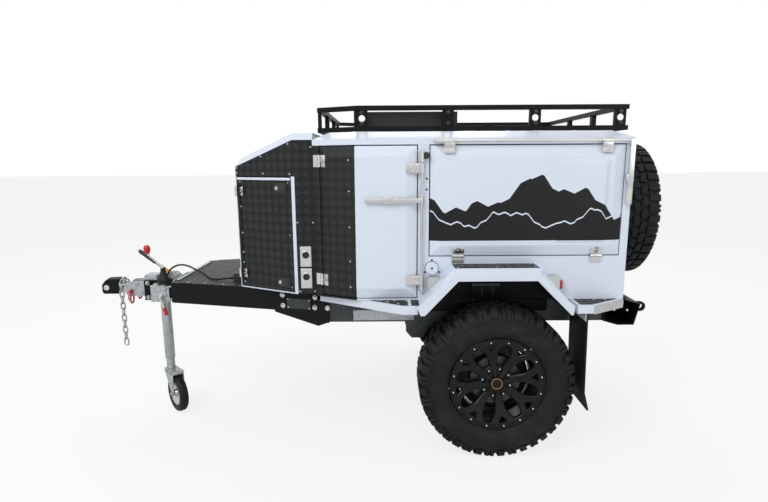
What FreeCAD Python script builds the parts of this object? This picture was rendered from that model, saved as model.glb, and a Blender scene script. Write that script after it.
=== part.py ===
"""Off-road camping trailer: a hard-shell box body on an A-frame drawbar, parked on its jockey wheel.

X runs from the coupling towards the rear, Y towards the trailer's right-hand side and Z up, in
millimetres.  The part is modelled from the axle line (X = 0) and the ground (Z = 0), on its left side
first, and is moved along X at the end so that its origin is on the ground, in the middle of its length.
"""
import FreeCAD, Part
import math
import os

V = FreeCAD.Vector
UP = V(0, 0, 1)
AXIS_X = V(1, 0, 0)
AXIS_Y = V(0, 1, 0)
ORIGIN = V(0, 0, 0)

# Overall layout
coupling_front_x = -2335.0
spare_rear_x = 975.0
shift_x = -(coupling_front_x + spare_rear_x) / 2
cut_margin = 20.0
seat_gap = 0.3
bar_sides = 12
round_sides = 24
upright_share = 0.9
mitre_share = 0.5
straight_share = 1.0001
door_gap = 5.0
sheet = 3.0

# Body plan and heights
body_rear_x = 626.0
body_corner_x = -694.0
body_front_x = -907.0
body_half_width = 755.0
front_half_width = 653.0
body_bottom_z = 803.0
roof_seam_z = 1556.0
wall = 24.0
floor_thickness = 22.0

# Roof
fascia_z = 1584.0
roof_top_z = 1620.0
roof_inset = 80.0
roof_skin = 14.0

# Side door that wraps round the front corner
door_front_x = -868.0
door_rear_x = -399.0
door_low_z = 816.0
door_high_z = 1551.0
pad_proud = 18.0
pad_bevel = 50.0

# Drop-down hatch
hatch_front_x = -336.0
hatch_rear_x = 584.0
hatch_low_z = 1026.0
emboss_proud = 11.0
emboss_bevel = 22.0
emboss_front_x = 266.0
emboss_rear_x = 512.0
emboss_low_z = 1088.0
emboss_high_z = 1485.0

# Nose box
nose_corner_x = -1006.0
nose_front_x = -1338.0
nose_half_width = 468.0
nose_bottom_z = 812.0
nose_rear_top_z = 1584.0
nose_front_top_z = 1456.0
nose_wall = 20.0
lid_rise = 34.0
lid_inset = 30.0
nose_door_front_share = 0.03
nose_door_rear_share = 0.965
nose_door_low_z = 822.0
nose_door_high_z = 1402.0
nose_frame_width = 14.0
nose_frame_proud = 5.0

# Wheels
tyre_radius = 388.0
tyre_width = 246.0
wheel_face_y = 842.0
rim_lip_radius = 239.0
rim_bore_radius = 226.0
rim_width = 211.6
rim_ring_width = 32.0
rim_ring_thickness = 14.0
rim_wall = 7.0
hub_disc_radius = 86.0
hub_disc_depth = 45.0
hub_disc_thickness = 24.0
cap_radius = 30.0
cap_depth = 15.0
spoke_count = 8
spoke_root_width = 58.0
spoke_tip_width = 44.0
spoke_thickness = 24.0
lug_count = 15
lug_height = 11.0
lug_width_share = 0.58
drum_radius = 128.0
drum_width = 58.0
stub_radius = 25.0

# Chassis
rail_outer_y = 585.0
rail_width = 60.0
rail_low_z = 642.0
rail_high_z = 762.0
rail_wall = 6.0
rail_rear_x = 600.0
chassis_front_x = -908.0
cross_width = 60.0

# Drawbar
draw_low_z = 693.0
draw_high_z = 809.0
draw_width = 60.0
draw_wall = 6.0
draw_angle = 15.0
crossbeam_front_x = -1774.0
centre_beam_half_width = 50.0
centre_beam_low_z = 640.0
centre_beam_high_z = 760.0
centre_beam_front_x = -2015.0

# Coupling
ball_radius = 25.5
ball_x = -2287.0
ball_z = 696.0
head_length = 110.0
head_low_z = 668.0
head_high_z = 767.0
head_width = 84.0
shaft_radius = 28.0
shaft_z = 712.0
flange_length = 43.0
flange_half_width = 62.0
lug_plate_y = 52.0
lug_plate_thickness = 10.0
lug_plate_low_z = 660.0
lug_plate_high_z = 752.0
lug_plate_front_x = -2189.0
lug_hole_x = -2142.0
lug_hole_z = 690.0
lug_hole_radius = 12.0

# Jockey wheel
jockey_x = -1868.0
jockey_y = 215.0
jockey_tube_radius = 29.0
jockey_tube_wall = 4.0
jockey_tube_low_z = 312.0
jockey_inner_radius = 24.0
jockey_wheel_radius = 112.0
jockey_wheel_width = 48.0
jockey_trail = 80.0
jockey_heading = -48.0
clamp_low_z = 672.0
clamp_high_z = 768.0
clamp_wrap = 13.0
clamp_reach = 73.0

# Mudguard
guard_shelf = 113.0
guard_flare = 32.0
guard_top_half_width = body_half_width + guard_shelf
guard_half_width = guard_top_half_width + guard_flare
guard_top_z = 983.0
guard_fold_z = 958.0
guard_lip_z = 927.0
guard_foot_z = 761.0
guard_lip_xs = (-367.0, -211.0, 160.0, 326.0)
guard_sheet = 6.0
well_inner_y = 586.0

# Sills
sill_low_z = 762.0
sill_overhang = 123.0
sill_half_width = body_half_width + sill_overhang

# Roof rack
rack_half_width = 642.0
rack_rear_x = 636.0
rack_corner_x = -686.0
rack_front_x = -892.0
rack_front_half_width = 532.0
rack_rail_width = 32.0
rack_rail_height = 22.0
rack_low_z = 1624.0
rack_high_z = 1745.0

# Spare wheel
spare_z = 1187.0
spare_face_x = spare_rear_x - (tyre_width - rim_width) / 2


def box(x0, x1, y0, y1, z0, z1):
    """Box between two corners."""
    return Part.makeBox(x1 - x0, y1 - y0, z1 - z0, V(x0, y0, z0))


def face(points):
    """Flat face through a closed ring of vectors."""
    return Part.Face(Part.makePolygon(list(points) + [points[0]]))


def prism_xy(points, z0, z1):
    """Plan outline (x, y) raised from z0 to z1."""
    return face([V(x, y, z0) for x, y in points]).extrude(V(0, 0, z1 - z0))


def prism_xz(points, y0, y1):
    """Side outline (x, z) drawn from y0 to y1."""
    return face([V(x, y0, z) for x, z in points]).extrude(V(0, y1 - y0, 0))


def prism_yz(points, x0, x1):
    """Front outline (y, z) drawn from x0 to x1."""
    return face([V(x0, y, z) for y, z in points]).extrude(V(x1 - x0, 0, 0))


def rod(start, end, radius):
    """Round bar between two points."""
    run = end - start
    return Part.makeCylinder(radius, run.Length, start, run)


def polygon_ring(centre, radius, sides):
    """Level ring of points round a centre."""
    angles = [2 * math.pi * i / sides for i in range(sides)]
    return [centre + V(radius * math.cos(a), radius * math.sin(a), 0) for a in angles]


def bar(start, end, radius):
    """Faceted round bar between two points."""
    return bar_along([start, end], radius, bar_sides)


def disc(start, end, radius):
    """Faceted round disc, finer than a bar."""
    return bar_along([start, end], radius, round_sides)


def pipe(start, end, radius, thickness):
    """Tube between two points, faceted outside and round inside."""
    run = end - start
    overrun = V(run).normalize() * cut_margin
    return bar(start, end, radius).cut(rod(start - overrun, end + overrun, radius - thickness))


def loft(lower, upper):
    """Straight-sided solid between two rings with the same number of corners."""
    wires = [Part.makePolygon(list(ring) + [ring[0]]) for ring in (lower, upper)]
    return Part.makeLoft(wires, True, True)


def sewn(faces):
    """Closed solid sewn from its flat faces."""
    shell = Part.makeShell(faces)
    shell.sewShape()
    solid = Part.makeSolid(shell)
    return solid if solid.Volume > 0 else solid.reversed()


def join(shapes):
    """One solid made of shapes that meet."""
    first = shapes[0]
    return first.fuse(list(shapes[1:])).removeSplitter() if len(shapes) > 1 else first


def group(shapes):
    """Separate solids kept in one piece."""
    return Part.makeCompound(list(shapes))


def mirror(shape):
    """The same shape on the other side of the trailer."""
    return shape.mirror(ORIGIN, AXIS_Y)


def both(shape):
    """A left-hand shape and its right-hand twin."""
    return group([shape, mirror(shape)])


def turned(shape, centre, axis, degrees):
    """A copy turned about an axis through a point."""
    copy = shape.copy()
    copy.rotate(centre, axis, degrees)
    return copy


def moved(shape, offset):
    """A copy shifted by a vector."""
    copy = shape.copy()
    copy.translate(offset)
    return copy


def inset(points, distance):
    """Outline moved inwards by a distance, corner by corner."""
    area = sum(a[0] * b[1] - b[0] * a[1] for a, b in zip(points, points[1:] + points[:1]))
    side = 1 if area > 0 else -1
    moved_points = []
    for i, corner in enumerate(points):
        before, after = points[i - 1], points[(i + 1) % len(points)]
        lines = []
        for a, b in ((before, corner), (corner, after)):
            length = math.hypot(b[0] - a[0], b[1] - a[1])
            nx, ny = -side * (b[1] - a[1]) / length, side * (b[0] - a[0]) / length
            lines.append((nx, ny, nx * a[0] + ny * a[1] + distance))
        (a1, b1, c1), (a2, b2, c2) = lines
        cross = a1 * b2 - a2 * b1
        moved_points.append(((c1 * b2 - c2 * b1) / cross, (a1 * c2 - a2 * c1) / cross))
    return moved_points


def bar_along(points, radius, sides, closed=False):
    """Faceted round bar along a path, with mitred corners."""
    count = len(points)
    rings = []
    normal = None
    for i, point in enumerate(points):
        ahead = points[(i + 1) % count] if closed or i + 1 < count else None
        behind = points[i - 1] if closed or i > 0 else None
        run = (ahead - behind) if ahead and behind else (ahead - point if ahead else point - behind)
        run = V(run).normalize()
        if normal is None:
            guide = UP if abs(run.z) < upright_share else AXIS_X
            normal = run.cross(guide)
        normal = normal - run * normal.dot(run)
        normal = V(normal).normalize()
        across = run.cross(normal)
        stretch = 1
        if ahead and behind:
            first = V(point - behind).normalize()
            second = V(ahead - point).normalize()
            stretch = 1 / max(math.cos(first.getAngle(second) / 2), mitre_share)
            plane_normal = first.cross(second)
        ring = []
        for k in range(sides):
            angle = math.pi * (2 * k + 1) / sides
            arm = normal * math.cos(angle) + across * math.sin(angle)
            if stretch > straight_share:
                bend = V(plane_normal).normalize().cross(run)
                arm = arm + bend * (arm.dot(bend) * (stretch - 1))
            ring.append(point + arm * radius)
        rings.append(ring)
    faces = []
    spans = count if closed else count - 1
    for i in range(spans):
        near, far = rings[i], rings[(i + 1) % count]
        shift = 0
        if closed and i == count - 1:
            shift = min(range(sides), key=lambda s: (far[s] - near[0]).Length)
        for k in range(sides):
            a, b = near[k], near[(k + 1) % sides]
            c, d = far[(k + 1 + shift) % sides], far[(k + shift) % sides]
            faces.append(face([a, b, c]))
            faces.append(face([a, c, d]))
    if not closed:
        faces.append(face(rings[0]))
        faces.append(face(rings[-1]))
    return sewn(faces)


def ring_of_revolution(profile, centre_y):
    """Closed (radius, y) profile turned about the wheel's axis."""
    outline = face([V(radius, centre_y + y, 0) for radius, y in profile])
    return outline.revolve(ORIGIN, AXIS_Y, 360)


def meridian(profile, angle):
    """Points of a (radius, y) profile in the half plane at an angle about the wheel's axis."""
    return [V(radius * math.sin(angle), y, radius * math.cos(angle)) for radius, y in profile]


def facets_between(near, far):
    """Flat faces joining two meridians of the same closed profile."""
    pairs = list(zip(near, far))
    return [face([a, c, d, b]) for (a, b), (c, d) in zip(pairs, pairs[1:] + pairs[:1])]


def faceted_ring(profile, sides):
    """Closed (radius, y) profile turned about the wheel's axis in flat facets."""
    rings = [meridian(profile, 2 * math.pi * i / sides) for i in range(sides)]
    faces = []
    for near, far in zip(rings, rings[1:] + rings[:1]):
        faces += facets_between(near, far)
    return sewn(faces)


def block_on_ring(profile, centre, half_arc):
    """Closed (radius, y) profile swept flat over a short arc, touching its radius in the middle."""
    near, far = meridian(profile, centre - half_arc), meridian(profile, centre + half_arc)
    return sewn(facets_between(near, far) + [face(near), face(far)])


def save(name, shape):
    """Write one piece, shifted to the part's origin."""
    placed = moved(shape, V(shift_x, 0, 0))
    placed.exportStep(os.path.join("parts", name + ".step"))


# Body

def left(points):
    """Plan points given as (x, distance to the left) in the part's own frame."""
    return [(x, -y) for x, y in points]


def body_outline():
    """Plan outline of the box body."""
    side = [(body_rear_x, body_half_width), (body_corner_x, body_half_width),
            (body_front_x, front_half_width)]
    return left(side) + [(x, y) for x, y in reversed(side)]


def corner_direction():
    """Unit vectors along and out of the slanted front corner, in plan, on the left."""
    run = V(body_corner_x - body_front_x, -(body_half_width - front_half_width), 0).normalize()
    return run, V(run.y, -run.x, 0)


def corner_point(x):
    """Point on the slanted corner's outer face at a given x."""
    share = (x - body_front_x) / (body_corner_x - body_front_x)
    return V(x, -(front_half_width + share * (body_half_width - front_half_width)), 0)


def door_region(gap):
    """Plan area of the side door, widened by a gap at its two upright edges."""
    run, out = corner_direction()
    edge = corner_point(door_front_x) - run * gap
    reach = wall + 4 * cut_margin
    outer, inner = edge + out * reach, edge - out * reach
    rear = door_rear_x + gap
    return [(rear, -body_half_width - reach), (rear, -body_half_width + reach),
            (body_corner_x, -body_half_width + reach), (inner.x, inner.y), (outer.x, outer.y),
            (body_corner_x, -body_half_width - reach)]


def wall_band(z0, z1):
    """The body's wall between two heights."""
    outline = body_outline()
    return prism_xy(outline, z0, z1).cut(prism_xy(inset(outline, wall), z0 - cut_margin, z1 + cut_margin))


def guard_lip_line():
    """Lower edge of the mudguard's face, from the front foot to the rear foot."""
    heights = (guard_foot_z, guard_lip_z, guard_lip_z, guard_foot_z)
    return list(zip(guard_lip_xs, heights))


def well_outline(grow):
    """Side outline of the wheel well, open downwards."""
    front_foot, front_top, rear_top, rear_foot = guard_lip_line()
    return [(front_foot[0] - grow, front_foot[1] - 3 * cut_margin), (front_foot[0] - grow, front_foot[1]),
            (front_top[0] - grow / 2, front_top[1] + grow), (rear_top[0] + grow / 2, rear_top[1] + grow),
            (rear_foot[0] + grow, rear_foot[1]), (rear_foot[0] + grow, rear_foot[1] - 3 * cut_margin)]


def well_block(grow):
    """Space of the left wheel well inside the body."""
    return prism_xz(well_outline(grow), -body_half_width - cut_margin, -well_inner_y + grow)


def hatch_opening(gap):
    """Block through the left wall at the hatch."""
    return box(hatch_front_x - gap, hatch_rear_x + gap, -body_half_width - cut_margin,
               -body_half_width + wall + cut_margin, hatch_low_z - gap, door_high_z + gap)


def make_body_shell():
    """Box body with its floor, wheel wells and four openings."""
    band = wall_band(body_bottom_z, roof_seam_z)
    outline = inset(body_outline(), wall)
    floor = prism_xy(outline, body_bottom_z, body_bottom_z + floor_thickness)
    door_hole = prism_xy(door_region(door_gap), door_low_z - door_gap, door_high_z + door_gap)
    shell = band.fuse(floor)
    for tool in (door_hole, hatch_opening(door_gap), well_block(guard_sheet)):
        shell = shell.cut(tool).cut(mirror(tool))
    return shell.removeSplitter()


def make_roof():
    """Roof with an upright fascia and a bevelled edge, hollow underneath."""
    outline = body_outline()
    inner = inset(outline, wall)

    def at(points, z):
        return [V(x, y, z) for x, y in points]
    skirt = prism_xy(outline, roof_seam_z + seat_gap, fascia_z)
    crown = loft(at(outline, fascia_z), at(inset(outline, roof_inset), roof_top_z))
    cavity = prism_xy(inner, roof_seam_z - cut_margin, fascia_z)
    vault = loft(at(inner, fascia_z), at(inset(outline, roof_inset + wall), roof_top_z - roof_skin))
    return skirt.fuse(crown).cut(cavity.fuse(vault)).removeSplitter()


def flat_pad(x0, x1, z0, z1, y, proud, bevel):
    """Raised panel with bevelled edges on a wall that faces left."""
    base = [V(x0, y, z0), V(x1, y, z0), V(x1, y, z1), V(x0, y, z1)]
    x2, x3, z2, z3 = x0 + bevel, x1 - bevel, z0 + bevel, z1 - bevel
    top = [V(x2, y - proud, z2), V(x3, y - proud, z2), V(x3, y - proud, z3), V(x2, y - proud, z3)]
    return loft(base, top)


def door_pad():
    """Raised panel of the side door, folded round the front corner."""
    run, out = corner_direction()
    front = corner_point(door_front_x)
    fold = V(body_corner_x, -body_half_width, 0)
    half = math.radians(run.getAngle(AXIS_X) * 180 / math.pi / 2)
    mitre = (out + V(0, -1, 0)).normalize() * (pad_proud / math.cos(half))
    low, high = door_low_z, door_high_z
    low_in, high_in = low + pad_bevel, high - pad_bevel

    def ring(first, second, z0, z1):
        return [V(first.x, first.y, z0), V(second.x, second.y, z0),
                V(second.x, second.y, z1), V(first.x, first.y, z1)]
    rear = V(door_rear_x, -body_half_width, 0)
    rear_top = rear + V(-pad_bevel, -pad_proud, 0)
    fold_top = fold + mitre
    front_top = front + run * pad_bevel + out * pad_proud
    side = loft(ring(fold, rear, low, high), ring(fold_top, rear_top, low_in, high_in))
    corner = loft(ring(front, fold, low, high), ring(front_top, fold_top, low_in, high_in))
    return side, corner


def make_side_door():
    """Door slab through the whole wall, with its raised outer panel."""
    slab = wall_band(door_low_z, door_high_z).common(
        prism_xy(door_region(0), door_low_z - cut_margin, door_high_z + cut_margin))
    side, corner = door_pad()
    return join([slab, side, corner] + door_hinges()[1])


def make_hatch():
    """Drop-down hatch with a bevelled panel and a second raised field near its rear end."""
    slab = box(hatch_front_x, hatch_rear_x, -body_half_width, -body_half_width + wall,
               hatch_low_z, door_high_z)
    pad = flat_pad(hatch_front_x, hatch_rear_x, hatch_low_z, door_high_z, -body_half_width,
                   pad_proud, pad_bevel)
    field = flat_pad(emboss_front_x, emboss_rear_x, emboss_low_z, emboss_high_z,
                     -body_half_width - pad_proud, emboss_proud, emboss_bevel)
    return join([slab, pad, field] + hatch_hinges()[1])


# Locks that ride on the doors
lock_rod_radius = 6.0
lock_sleeve_radius = 10.0
lock_stand = 20.0
lock_rod_x = -377.0
lock_low_z = 850.0
lock_high_z = 1530.0
arm_width = 50.0
arm_height = 48.0
arm_thickness = 9.0
arm_high_z = 1447.0
arm_low_z = 907.0
handle_z = 1296.0
handle_reach = 271.0
handle_height = 26.0
handle_thickness = 9.0
catch_length = 64.0
catch_height = 30.0
sleeve_length = 54.0
sleeve_offset = 28.0


def clamp_arm_to_door(rod_x, z, y):
    """Arm from the upright rod onto the door's raised panel."""
    pad_y = -body_half_width - pad_proud - seat_gap
    reach = box(rod_x - arm_width, rod_x, y - arm_thickness / 2, y + arm_thickness / 2,
                z - arm_height / 2, z + arm_height / 2)
    foot = box(rod_x - arm_width - pad_bevel / 2, rod_x - arm_width + sheet, y - arm_thickness / 2, pad_y,
               z - arm_height / 2, z + arm_height / 2)
    return reach.fuse(foot)


def make_side_door_lock():
    """Upright lock rod with two arms, two sleeves and a long level handle."""
    y = -body_half_width - lock_stand
    parts = [bar(V(lock_rod_x, y, lock_low_z), V(lock_rod_x, y, lock_high_z), lock_rod_radius)]
    for z in (lock_low_z + sleeve_offset, lock_high_z - sleeve_offset):
        parts.append(bar(V(lock_rod_x, y, z - sleeve_length / 2), V(lock_rod_x, y, z + sleeve_length / 2),
                         lock_sleeve_radius))
    for z in (arm_low_z, arm_high_z):
        parts.append(clamp_arm_to_door(lock_rod_x, z, y))
    handle_y = -body_half_width - pad_proud - seat_gap - lock_sleeve_radius
    parts.append(box(lock_rod_x - handle_reach, lock_rod_x, handle_y - handle_thickness, handle_y,
                     handle_z - handle_height / 2, handle_z + handle_height / 2))
    parts.append(bar(V(lock_rod_x, y, handle_z - handle_height), V(lock_rod_x, y, handle_z + handle_height),
                     lock_sleeve_radius))
    catch_x = lock_rod_x - handle_reach + handle_reach / 3
    parts.append(box(catch_x, catch_x + catch_length, handle_y - handle_thickness,
                     -body_half_width - pad_proud - seat_gap,
                     handle_z - catch_height / 2, handle_z + catch_height / 2))
    return join(parts)


hatch_rod_z = 1570.0
hatch_rod_front_x = -320.0
hatch_arm_xs = (-249.0, 491.0)
hatch_handle_x = 607.0
hatch_handle_low_z = 1268.0
hatch_grip_height = 84.0
hatch_grip_radius = 14.0
hatch_catch_z = 1395.0
hatch_catch_height = 38.0
foot_high_share = 0.2
foot_low_share = 0.7


def bevel_y(z):
    """Seat just off the hatch's upper bevel at a given height."""
    return -body_half_width - pad_proud * (door_high_z - z) / pad_bevel - 2 * seat_gap


def make_hatch_lock():
    """Level lock rod over the hatch with two arms and a drop handle at its rear end."""
    y = -body_half_width - lock_stand
    parts = [bar(V(hatch_rod_front_x, y, hatch_rod_z), V(hatch_handle_x, y, hatch_rod_z), lock_rod_radius)]
    parts.append(bar(V(hatch_rod_front_x, y, hatch_rod_z),
                     V(hatch_rod_front_x + sleeve_length, y, hatch_rod_z), lock_sleeve_radius))
    foot_high = door_high_z - pad_bevel * foot_high_share
    foot_low = door_high_z - pad_bevel * foot_low_share
    for x in hatch_arm_xs:
        parts.append(box(x - arm_width / 2, x + arm_width / 2, y - arm_thickness, y + arm_thickness / 2,
                         foot_high, hatch_rod_z + arm_thickness))
        foot = [(y - arm_thickness, foot_high), (bevel_y(foot_high), foot_high),
                (bevel_y(foot_low), foot_low), (y - arm_thickness, foot_low)]
        parts.append(prism_yz(foot, x - arm_width / 2, x + arm_width / 2))
    grip_low = hatch_handle_low_z
    parts.append(box(hatch_handle_x - handle_height / 2, hatch_handle_x + handle_height / 2,
                     y - handle_thickness, y, grip_low + hatch_grip_height / 2,
                     hatch_rod_z + lock_rod_radius))
    parts.append(bar(V(hatch_handle_x, y, grip_low), V(hatch_handle_x, y, grip_low + hatch_grip_height),
                     hatch_grip_radius))
    return join(parts)


# Hinges
hinge_pin_radius = 7.0
hinge_wire_radius = 3.0
hinge_play = 0.3
hinge_leaf = 4.0
hinge_leaf_length = 34.0
door_hinge_zs = (895.0, 1482.0)
door_hinge_height = 58.0
hatch_hinge_xs = (-199.0, 473.0)
hatch_hinge_width = 58.0
nose_hinge_zs = (893.0, 1330.0)
nose_hinge_height = 50.0


def door_axis():
    """Point on the side door's hinge axis, outside the gap at its front edge."""
    run, out = corner_direction()
    return corner_point(door_front_x) - run * (door_gap / 2) + out * (hinge_pin_radius + hinge_play)


def nose_corner_frame():
    """Start point, unit run and outward unit vector of the nose box's slanted left face."""
    start = V(nose_front_x, -nose_half_width, 0)
    run = V(nose_corner_x, -front_half_width, 0) - start
    return start, V(run).normalize(), V(run.y, -run.x, 0).normalize(), run.Length


def nose_axis():
    """Point on the nose door's hinge axis."""
    start, run, out, length = nose_corner_frame()
    edge = start + run * (length * nose_door_front_share)
    return edge - run * (door_gap / 2) + out * (hinge_pin_radius + nose_frame_proud)


def in_frame(shape, origin, along, out):
    """Place a shape modelled with X along a surface and Y out of it."""
    up = along.cross(out)
    placed = shape.copy()
    placed.Placement = FreeCAD.Placement(FreeCAD.Matrix(
        along.x, out.x, up.x, origin.x, along.y, out.y, up.y, origin.y,
        along.z, out.z, up.z, origin.z, 0, 0, 0, 1))
    return placed


def hinge_halves(height, stand, fixed_length=hinge_leaf_length):
    """Fixed and moving halves of a hinge; its pin is along Z, X runs over the moving leaf, Y outwards."""
    third = height / 3
    knuckle_gap = hinge_play * 2
    clear = hinge_pin_radius + knuckle_gap

    def block(x0, x1, z0, z1):
        return box(x0, x1, -stand, hinge_leaf - hinge_pin_radius - hinge_play, z0, z1)

    def knuckle(z0, z1):
        return bar(V(0, 0, z0), V(0, 0, z1), hinge_pin_radius)
    low, high = -height / 2, height / 2
    fixed = [bar(V(0, 0, low), V(0, 0, high), hinge_wire_radius),
             knuckle(low, low + third), knuckle(high - third, high),
             block(-fixed_length, 0, low, low + third), block(-fixed_length, 0, high - third, high),
             block(-fixed_length, -clear, low, high)]
    middle_low, middle_high = low + third + knuckle_gap, high - third - knuckle_gap
    bore = Part.makeCylinder(hinge_wire_radius + hinge_play, height, V(0, 0, low))
    moving = [knuckle(middle_low, middle_high), block(0, hinge_leaf_length, middle_low, middle_high),
              block(clear, hinge_leaf_length, low, high)]
    return join(fixed), join(moving).cut(bore)


def door_hinges():
    """Halves of the side door's hinges, in place."""
    run, out = corner_direction()
    fixed, moving = hinge_halves(door_hinge_height, hinge_pin_radius + hinge_play)
    axis = door_axis()
    places = [V(axis.x, axis.y, z) for z in door_hinge_zs]
    return ([in_frame(fixed, p, run, out) for p in places],
            [in_frame(moving, p, run, out) for p in places])


def nose_hinges():
    """Halves of the nose door's hinges, in place."""
    start, run, out, length = nose_corner_frame()
    margin = length * nose_door_front_share - door_gap / 2
    fixed, moving = hinge_halves(nose_hinge_height, hinge_pin_radius + nose_frame_proud, margin)
    axis = nose_axis()
    places = [V(axis.x, axis.y, z) for z in nose_hinge_zs]
    return ([in_frame(fixed, p, run, out) for p in places],
            [in_frame(moving, p, run, out) for p in places])


def hatch_hinges():
    """Halves of the hatch's hinges, in place."""
    fixed, moving = hinge_halves(hatch_hinge_width, hinge_pin_radius)
    places = [V(x, -body_half_width - hinge_pin_radius, hatch_low_z - door_gap / 2) for x in hatch_hinge_xs]
    out = V(0, -1, 0)
    return ([in_frame(fixed, p, UP, out) for p in places], [in_frame(moving, p, UP, out) for p in places])


def make_hinges():
    """Fixed halves of all the hinges, seated on the body and the nose box."""
    shapes = door_hinges()[0] + nose_hinges()[0] + hatch_hinges()[0]
    return group(shapes + [mirror(s) for s in shapes])


# Nose box

def nose_outline():
    """Plan outline of the nose box."""
    side = [(body_front_x - seat_gap, front_half_width), (nose_corner_x, front_half_width),
            (nose_front_x, nose_half_width)]
    return left(side) + [(x, y) for x, y in reversed(side)]


def nose_slope(x):
    """Height of the nose box's sloping edge."""
    share = (x - nose_front_x) / (nose_corner_x - nose_front_x)
    return nose_front_top_z + share * (nose_rear_top_z - nose_front_top_z)


def above_slope(drop):
    """Space over the sloping edge, lowered by a drop."""
    x0 = nose_front_x - cut_margin
    z0 = nose_slope(x0) - drop
    top = nose_rear_top_z + 4 * cut_margin
    x2 = body_front_x + cut_margin
    outline = [(x0, z0), (nose_corner_x, nose_rear_top_z - drop), (x2, nose_rear_top_z - drop),
               (x2, top), (x0, top)]
    return prism_xz(outline, -front_half_width - cut_margin, front_half_width + cut_margin)


def nose_door_block(gap, depth, proud):
    """Slab on the slanted left face at the nose door, widened by a gap."""
    start, run, out, length = nose_corner_frame()
    a = start + run * (length * nose_door_front_share - gap)
    b = start + run * (length * nose_door_rear_share + gap)
    ring = [a + out * proud, b + out * proud, b - out * depth, a - out * depth]
    z0, z1 = nose_door_low_z - gap, nose_door_high_z + gap
    return face([V(p.x, p.y, z0) for p in ring]).extrude(V(0, 0, z1 - z0))


def make_nose_box():
    """Hollow nose box, open to the rear where the body's front wall closes it."""
    outline = nose_outline()
    outer = prism_xy(outline, nose_bottom_z, nose_rear_top_z).cut(above_slope(0))
    inner = prism_xy(inset(outline, nose_wall), nose_bottom_z + nose_wall, nose_rear_top_z + cut_margin)
    half = front_half_width - nose_wall
    mouth = box(body_front_x - nose_wall - cut_margin, body_front_x + cut_margin, -half, half,
                nose_bottom_z + nose_wall, nose_rear_top_z + cut_margin)
    inner = inner.fuse(mouth)
    door_hole = nose_door_block(door_gap, nose_wall + 2 * cut_margin, cut_margin)
    shell = outer.cut(inner).cut(door_hole).cut(mirror(door_hole))
    return shell.removeSplitter()


def make_nose_lid():
    """Sloping lid with bevelled edges."""
    def at(x, y, rise):
        return V(x, y, nose_slope(min(x, nose_corner_x)) + rise)
    front_in = nose_front_x + lid_inset
    half = front_half_width - lid_inset
    half_front = nose_half_width - lid_inset
    slope_low = [at(nose_front_x, -nose_half_width, 0), at(nose_corner_x, -front_half_width, 0),
                 at(nose_corner_x, front_half_width, 0), at(nose_front_x, nose_half_width, 0)]
    slope_high = [at(front_in, -half_front, lid_rise), at(nose_corner_x, -half, lid_rise),
                  at(nose_corner_x, half, lid_rise), at(front_in, half_front, lid_rise)]
    rear = body_front_x - seat_gap
    flat_low = [at(nose_corner_x, -front_half_width, 0), at(rear, -front_half_width, 0),
                at(rear, front_half_width, 0), at(nose_corner_x, front_half_width, 0)]
    flat_high = [at(nose_corner_x, -half, lid_rise), at(rear, -half, lid_rise),
                 at(rear, half, lid_rise), at(nose_corner_x, half, lid_rise)]
    lid = loft(slope_low, slope_high).fuse(loft(flat_low, flat_high))
    return moved(lid, V(0, 0, seat_gap)).removeSplitter()


def make_nose_door():
    """Nose door with a raised frame round its edge."""
    slab = nose_door_block(0, nose_wall, 0)
    frame = nose_door_block(0, 0, nose_frame_proud)
    field = nose_door_block(-nose_frame_width, cut_margin, cut_margin)
    return join([slab, frame.cut(field)] + nose_hinges()[1])


# Wheels

bead_share = 0.97
shoulder_share = 0.86
barrel_slope_share = 1.6
spoke_foot_share = 1.5
lug_shares = ((0.0, 0.99), (1.0, 0.82), (1.0, -0.12), (0.0, -0.12))


def tyre_profile(radius, width, lip_radius, lip_y, seat_radius, seat_y, crown):
    """Closed (radius, y) outline of a tyre about its middle plane, seated on the rim."""
    half = width / 2
    one_side = [(seat_radius, seat_y), (lip_radius, lip_y), (lip_radius + 2 * crown, half * bead_share),
                ((lip_radius + radius) / 2, half), (radius - crown, half * shoulder_share)]
    return [(r, -y) for r, y in one_side] + [(r, y) for r, y in reversed(one_side)]


def make_tyre():
    """Off-road tyre about the Y axis, its shoulder lugs interlocking over the tread."""
    sides = 2 * lug_count
    carcass_radius = tyre_radius - lug_height
    lip_y = rim_width / 2 - rim_ring_thickness - seat_gap
    seat_y = rim_width / 2 - rim_ring_thickness * barrel_slope_share - seat_gap
    outline = tyre_profile(carcass_radius, tyre_width, rim_lip_radius + 2 * seat_gap, lip_y,
                           rim_bore_radius + 2 * seat_gap, seat_y, lug_height)
    carcass = faceted_ring(outline, sides)
    pitch = 2 * math.pi / lug_count
    half_arc = pitch * lug_width_share / 2
    crest = tyre_radius / math.cos(half_arc)
    depth = carcass_radius - 3 * lug_height
    half = tyre_width / 2
    lugs = []
    for side in (-1, 1):
        profile = [(depth + (crest - depth) * rise, side * half * share) for rise, share in lug_shares]
        for i in range(lug_count):
            lugs.append(block_on_ring(profile, pitch * (i + (side + 1) / 4), half_arc))
    return carcass.fuse(lugs)


def spoke(turn):
    """One broad spoke from the hub disc out to the rim's ring."""
    root, tip = hub_disc_radius - rim_wall, rim_bore_radius - rim_wall * spoke_foot_share
    rings = []
    for width, depth, radius in ((spoke_root_width, hub_disc_depth, root),
                                 (spoke_tip_width, rim_wall, tip)):
        half, back = width / 2, depth + spoke_thickness
        rings.append([V(-half, depth, radius), V(half, depth, radius), V(half, back, radius),
                      V(-half, back, radius)])
    return turned(loft(*rings), ORIGIN, AXIS_Y, turn)


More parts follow.
